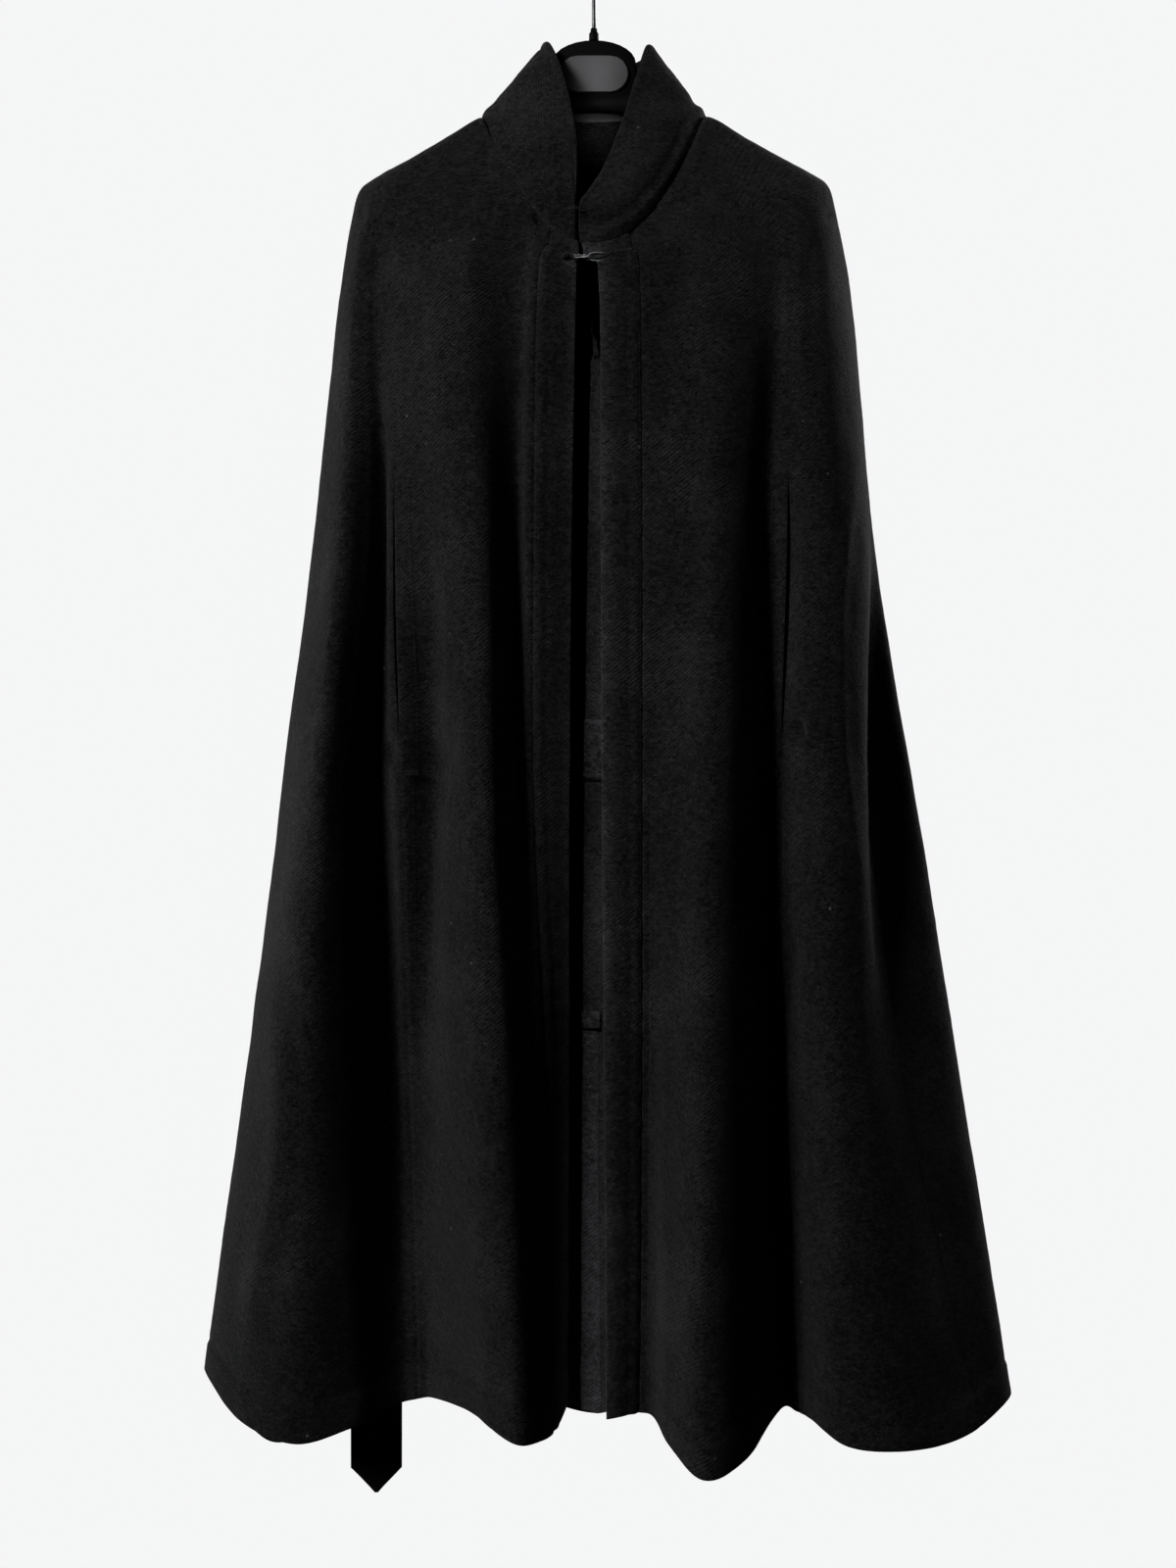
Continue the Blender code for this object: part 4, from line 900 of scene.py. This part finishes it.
def feed(tree, socket, value):
    """Gives a socket a number, a colour or another node's output."""
    if isinstance(value, bpy.types.NodeSocket):
        tree.links.new(value, socket)
    else:
        socket.default_value = (*value, 1) if isinstance(value, tuple) else value


def new_material(name, colour, roughness, metallic=0.0, specular=0.5):
    """A material with its node tree and shader, its plain values set."""
    made = bpy.data.materials.new(name)
    made.use_nodes = True
    shader = made.node_tree.nodes["Principled BSDF"]
    set_inputs(shader, {
        "Base Color": (*colour, 1), "Roughness": roughness, "Metallic": metallic, "Specular IOR Level": specular,
    })
    return made, made.node_tree, shader


def object_place(tree):
    return add_node(tree, "TexCoord").outputs["Object"]


def mapped(tree, source, values):
    node = add_node(tree, "Mapping", values)
    feed(tree, node.inputs["Vector"], source)
    return node.outputs[0]


def noise_node(tree, source, scale, detail=3.0, rough=0.6, distortion=0.0):
    node = add_node(tree, "TexNoise", {
        "Scale": scale, "Detail": detail, "Roughness": rough, "Distortion": distortion,
    })
    feed(tree, node.inputs["Vector"], source)
    return node.outputs["Fac"]


def maths(tree, operation, first, second):
    node = add_node(tree, "Math", operation=operation)
    feed(tree, node.inputs[0], first)
    feed(tree, node.inputs[1], second)
    return node.outputs[0]


def spread(tree, value, low, high, to_low=0.0, to_high=1.0):
    node = add_node(tree, "MapRange", {"From Min": low, "From Max": high, "To Min": to_low, "To Max": to_high})
    node.clamp = True
    feed(tree, node.inputs["Value"], value)
    return node.outputs["Result"]


def mix_colours(tree, factor, first, second, blend="MIX"):
    node = add_node(tree, "Mix", data_type="RGBA", blend_type=blend)
    for index, value in ((0, factor), (6, first), (7, second)):
        feed(tree, node.inputs[index], value)
    return node.outputs[2]


def bump_from(tree, shader, height, strength, distance):
    bump = add_node(tree, "Bump", {"Strength": strength, "Distance": distance})
    feed(tree, bump.inputs["Height"], height)
    feed(tree, shader.inputs["Normal"], bump.outputs[0])


def wool_material(name="black_wool", tone=1.0):
    """Milled wool twill: fine diagonal ribs under a felted nap, flecked with paler fibres."""
    made, tree, shader = new_material(name, (0.01, 0.01, 0.01), 0.95, specular=0.03)
    set_inputs(shader, {"Sheen Weight": 0.05, "Sheen Roughness": 0.4})
    place = add_node(tree, "TexCoord")
    solid = place.outputs["Object"]
    twill = add_node(
        tree, "TexWave", {"Scale": 105.0, "Distortion": 1.6, "Detail": 2.0, "Detail Scale": 1.4}, bands_direction="X",
    )
    feed(tree, twill.inputs["Vector"], mapped(tree, place.outputs["UV"], {"Rotation": (0, 0, math.radians(52))}))
    lying = mapped(tree, solid, {"Scale": (0.8, 0.8, 1.25)})
    nap = noise_node(tree, lying, 560, 4, 0.7, 0.4)
    felt = noise_node(tree, lying, 250, 4, 0.7, 0.6)
    clump = noise_node(tree, solid, 90, 3, 0.6)
    cloud = noise_node(tree, solid, 9, 3, 0.55)
    height = maths(tree, "MULTIPLY", twill.outputs["Fac"], spread(tree, cloud, 0.45, 0.65, 0.03, 0.2))
    for grain, strength in ((felt, 1.0), (nap, 0.8), (clump, 0.2)):
        height = maths(tree, "ADD", height, maths(tree, "MULTIPLY", grain, strength))
    bump_from(tree, shader, height, 0.8, 0.0026)
    # tone scales every colour of the wool; a tone above 1 gives a lighter copy that is painted light, not a different
    # cloth.
    dark, mid, pale = (tuple(channel * tone for channel in colour) for colour in (
        (0.0022, 0.0022, 0.0024), (0.0170, 0.0169, 0.0180), (0.060, 0.060, 0.063),
    ))
    # The colour follows the bump's height and is darker where it is low: partly the nap's random mottling, partly
    # painted shade in the weave's hollows.
    body = mix_colours(tree, spread(tree, height, 0.86, 1.26), dark, mid)
    fleck = maths(tree, "MULTIPLY", spread(tree, nap, 0.58, 0.74), spread(tree, felt, 0.5, 0.66))
    body = mix_colours(tree, fleck, body, pale)
    tint = mix_colours(tree, spread(tree, cloud, 0.35, 0.65), (0.8, 0.8, 0.8), (1.15, 1.15, 1.15))
    body = mix_colours(tree, 1.0, body, tint, "MULTIPLY")
    lint = add_node(tree, "TexVoronoi", {"Scale": 48.0, "Randomness": 1.0}, feature="F1")
    feed(tree, lint.inputs["Vector"], solid)
    chance = add_node(tree, "SeparateColor")
    feed(tree, chance.inputs[0], lint.outputs["Color"])
    speck = maths(
        tree, "MULTIPLY", spread(tree, lint.outputs["Distance"], 0.075, 0.045),
        spread(tree, chance.outputs[0], 0.86, 0.9),
    )
    feed(tree, shader.inputs["Base Color"], mix_colours(tree, speck, body, (0.07, 0.07, 0.07)))
    return made


def thread_material():
    made, tree, shader = new_material("black_thread", (0.009, 0.009, 0.010), 0.6, specular=0.25)
    ply = noise_node(tree, object_place(tree), 900, 2)
    feed(tree, shader.inputs["Base Color"], mix_colours(tree, ply, (0.004, 0.004, 0.005), (0.017, 0.017, 0.018)))
    return made


def fibre_material():
    made, tree, shader = new_material("wool_fibre", (0.02, 0.02, 0.02), 0.7, specular=0.2)
    set_inputs(shader, {"Sheen Weight": 0.2})
    tone = spread(tree, noise_node(tree, object_place(tree), 350, 2), 0.35, 0.7)
    feed(tree, shader.inputs["Base Color"], mix_colours(tree, tone, (0.010, 0.010, 0.011), (0.055, 0.055, 0.057)))
    return made


def satin_material():
    made, tree, shader = new_material("label_satin", (0.012, 0.012, 0.013), 0.42, specular=0.35)
    ribs = add_node(tree, "TexWave", {"Scale": 420.0, "Distortion": 0.4}, bands_direction="X")
    feed(tree, ribs.inputs["Vector"], add_node(tree, "TexCoord").outputs["UV"])
    bump_from(tree, shader, ribs.outputs["Fac"], 0.4, 0.0002)
    woven = mix_colours(tree, ribs.outputs["Fac"], (0.008, 0.008, 0.009), (0.02, 0.02, 0.021))
    feed(tree, shader.inputs["Base Color"], woven)
    return made


def plastic_material(name, colour, roughness, grain, specular):
    """Moulded plastic with a faint grain and uneven gloss."""
    made, tree, shader = new_material(name, colour, roughness, specular=specular)
    place = object_place(tree)
    wide = noise_node(tree, place, 30, 2)
    bump_from(tree, shader, noise_node(tree, place, grain, 3), 0.25, 0.0002)
    lighter = tuple(channel * 1.35 for channel in colour)
    feed(tree, shader.inputs["Base Color"], mix_colours(tree, wide, colour, lighter))
    feed(tree, shader.inputs["Roughness"], spread(tree, wide, 0.3, 0.7, roughness - 0.06, roughness + 0.08))
    return made


def wire_material(name, colour, roughness):
    """Drawn wire: fine scratches and a little tarnish."""
    made, tree, shader = new_material(name, colour, roughness, metallic=1.0)
    place = object_place(tree)
    scratch = noise_node(tree, mapped(tree, place, {"Scale": (1, 1, 0.15)}), 1400, 2)
    tarnish = spread(tree, noise_node(tree, place, 90, 3), 0.35, 0.7)
    darker = tuple(channel * 0.6 for channel in colour)
    feed(tree, shader.inputs["Base Color"], mix_colours(tree, tarnish, colour, darker))
    feed(tree, shader.inputs["Roughness"], spread(tree, scratch, 0.3, 0.7, roughness - 0.07, roughness + 0.12))
    return made


# ---------------------------------------------------------------- hanger and clasps

HEAD_RIM_Z, HEAD_RIM_RAISE = -0.145, 0.007
HEAD_HALF_WIDTH, HEAD_RIM_FADE = 0.065, 0.03


def smoothed_copy(node, name, finish, angle=35):
    """A CAD node's shape again, merged and smooth across its small facets."""
    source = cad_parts[node]
    mesh = source.data.copy()
    mesh.name = name
    bm = bmesh.new()
    bm.from_mesh(mesh)
    bmesh.ops.remove_doubles(bm, verts=bm.verts, dist=0.000002)
    bmesh.ops.recalc_face_normals(bm, faces=bm.faces)
    if node == "hanger_body":  # its head ends a little higher between the arms
        for vert in bm.verts:
            if vert.co.z < HEAD_RIM_Z:
                vert.co.z += HEAD_RIM_RAISE * min(max((HEAD_HALF_WIDTH - abs(vert.co.x)) / HEAD_RIM_FADE, 0), 1)
    bm.to_mesh(mesh)
    bm.free()
    mesh.materials.clear()
    mesh.materials.append(finish)
    mesh.shade_smooth()
    mesh.set_sharp_from_angle(angle=math.radians(angle))
    stand_for(add_object(name, mesh), (node,))


def hanger_and_clasps():
    black = plastic_material("hanger_black", (0.0018, 0.0018, 0.0018), 0.62, 500, 0.04)
    grey = plastic_material("plaque_grey", (0.052, 0.052, 0.054), 0.7, 420, 0.12)
    bright = wire_material("hook_steel", (0.07, 0.07, 0.072), 0.36)
    dark = wire_material("clasp_nickel", (0.075, 0.075, 0.078), 0.36)
    for node, finish, slot in (
        ("hanger_hook", bright, "hook_wire"), ("hanger_ferrule", black, "hanger_plastic"),
        ("hanger_body", black, "hanger_plastic"), ("hanger_plaque", grey, "plaque"),
        ("hook_lower", dark, "clasp_wire"), ("eye_lower", dark, "clasp_wire"),
        ("hook_upper", dark, "clasp_wire"), ("eye_upper", dark, "clasp_wire"),
    ):
        smoothed_copy(node, node + "_finished", finish)


# ---------------------------------------------------------------- room, light and camera

ROOM_RADIUS, FLOOR_RADIUS, FLOOR_Z = 7.0, 6.0, -1.66
CAMERA_PLACE = (-0.0054, -1.9, -0.774)
# Each lamp: where it is, what it faces, its size, its watts and the angle that it spreads over.
LAMPS = (
    ("key_left", (-2.5, -2.65, 0.95), (0.0, 0.0, -0.74), (1.0, 1.4), 165, 180),
    ("front_strip", (-0.225, -2.0, 0.17), (0.004, 0.0, -0.86), (0.014, 0.95), 0.16, 1.4),
    ("throat_patch", (-0.02, -2.0, -0.70), (0.006, 0.0, -0.146), (0.025, 0.085), 0.0048, 1.2),
    ("rim_back_left", (-2.4, 1.5, 0.2), (-0.1, 0.0, -0.7), (1.0, 1.4), 60, 180),
    ("back_right", (2.5, 2.3, 0.9), (0.0, 0.0, -0.8), (1.4, 1.4), 210, 180),
)


def glowing_material(name, colour):
    made = bpy.data.materials.new(name)
    made.use_nodes = True
    tree = made.node_tree
    tree.nodes.clear()
    glow = add_node(tree, "Emission", {"Color": (*colour, 1)})
    feed(tree, add_node(tree, "OutputMaterial").inputs[0], glow.outputs[0])
    return made


def room():
    """A pale room that the camera sees and the light doesn't."""
    pale = glowing_material("pale_room", (0.915, 0.918, 0.925))
    bm = bmesh.new()
    bmesh.ops.create_uvsphere(bm, u_segments=48, v_segments=24, radius=ROOM_RADIUS)
    bmesh.ops.reverse_faces(bm, faces=bm.faces)
    dome = add_object("backdrop", mesh_from(bm, "backdrop", pale))
    bm = bmesh.new()
    down = Matrix.Translation((0, 0, FLOOR_Z))
    bmesh.ops.create_circle(bm, cap_ends=True, segments=64, radius=FLOOR_RADIUS, matrix=down)
    floor = add_object("floor", mesh_from(bm, "floor", pale))
    for thing in (dome, floor):
        for ray in ("diffuse", "glossy", "transmission", "shadow"):
            setattr(thing, "visible_" + ray, False)


def studio():
    """The room, its soft light and lamps, and the camera."""
    room()
    world = bpy.data.worlds.new("soft_room_light")
    world.use_nodes = True
    set_inputs(world.node_tree.nodes["Background"], {"Color": (1.0, 1.0, 1.03, 1), "Strength": 0.03})
    bpy.context.scene.world = world
    for name, place, aim, size, power, spread_angle in LAMPS:
        data = bpy.data.lights.new(name, "AREA")
        data.shape = "RECTANGLE"
        data.size, data.size_y = size
        data.energy = power
        data.spread = math.radians(spread_angle)
        lamp = add_object(name, data)
        lamp.location = place
        lamp.rotation_euler = (Vector(aim) - Vector(place)).to_track_quat("-Z", "Y").to_euler()
    lens = bpy.data.cameras.new("camera")
    lens.lens = 47.5
    lens.sensor_width = 36
    lens.sensor_fit = "AUTO"
    lens.clip_end = 40
    camera = add_object("camera", lens)
    camera.location = CAMERA_PLACE
    camera.rotation_euler = (math.radians(90), 0, 0)
    bpy.context.scene.camera = camera
    bpy.context.scene.view_settings.view_transform = "Standard"


# ---------------------------------------------------------------- the cloak

def bar_tack_lines():
    """Four short rows across the foot of each arm slit."""
    lines = []
    for _, seam, way in ARM_SEAMS:
        for row in range(4):
            top_z = -762 - row * 1.3
            line, normal = line_on_cloth(AT[seam], way, 7.5, top_z, top_z - 2.9, 3.3)
            across = unit(np.cross(normal[:1], np.array([[0, 0, 1.0]])))
            reach = np.linspace(-7.5, 7.5, 12)[:, None]
            lines.append((line[:1] + across * reach + normal[:1] * 0.3, np.repeat(normal[:1], 12, axis=0)))
    return lines


def dress():
    """Every piece of the cloak and its hanger, and what each sheet is cut from."""
    wool = wool_material()
    # A copy of the same wool with every colour 1.7 times lighter, for the loop tape, casing, vent underlap and stay
    # bar: painted light that makes them read brighter than the rest of the cloth.
    wool_painted_lighter = wool_material("black_wool_trim", tone=1.7)
    thread = thread_material()
    fibre = fibre_material()
    satin = satin_material()
    panels = cut_panels(wool)
    pieces = {name: made[0] for name, made in panels.items()}
    pieces["collar"] = collar_piece(wool)
    welts = [arm_welt(side, seam, way, wool) for side, seam, way in ARM_SEAMS]
    label, loop = neck_strips(satin, wool_painted_lighter)
    casing = casing_piece(wool_painted_lighter)
    belt = belt_piece(wool)
    underlap, bar = vent_pieces(wool_painted_lighter)

    seam_lines = [line_on_cloth(AT[seam], *line) for seam, *line in SEAM_STITCHES]
    seam_thread = stitches("seam_stitches", seam_lines, thread)
    hem_lines = [
        line_round_hem(AT[panel.first], AT[panel.last], HEM_TURN - 1.5, -1.9)
        for panel in PANELS if panel.thick == HEM_THICK
    ]
    hem_thread = stitches("hem_stitches", hem_lines, thread, pitch=7.0, length=2.2)
    tacks = stitches("bar_tacks", bar_tack_lines(), thread, pitch=1.2, length=1.7, radius=0.45)

    sources = [(points, normal) for _, points, normal in panels.values()]
    nap = nap_fibres("nap_fibres", sources, FIBRE_COUNT, fibre, 71)
    hanger_and_clasps()


dress()
studio()
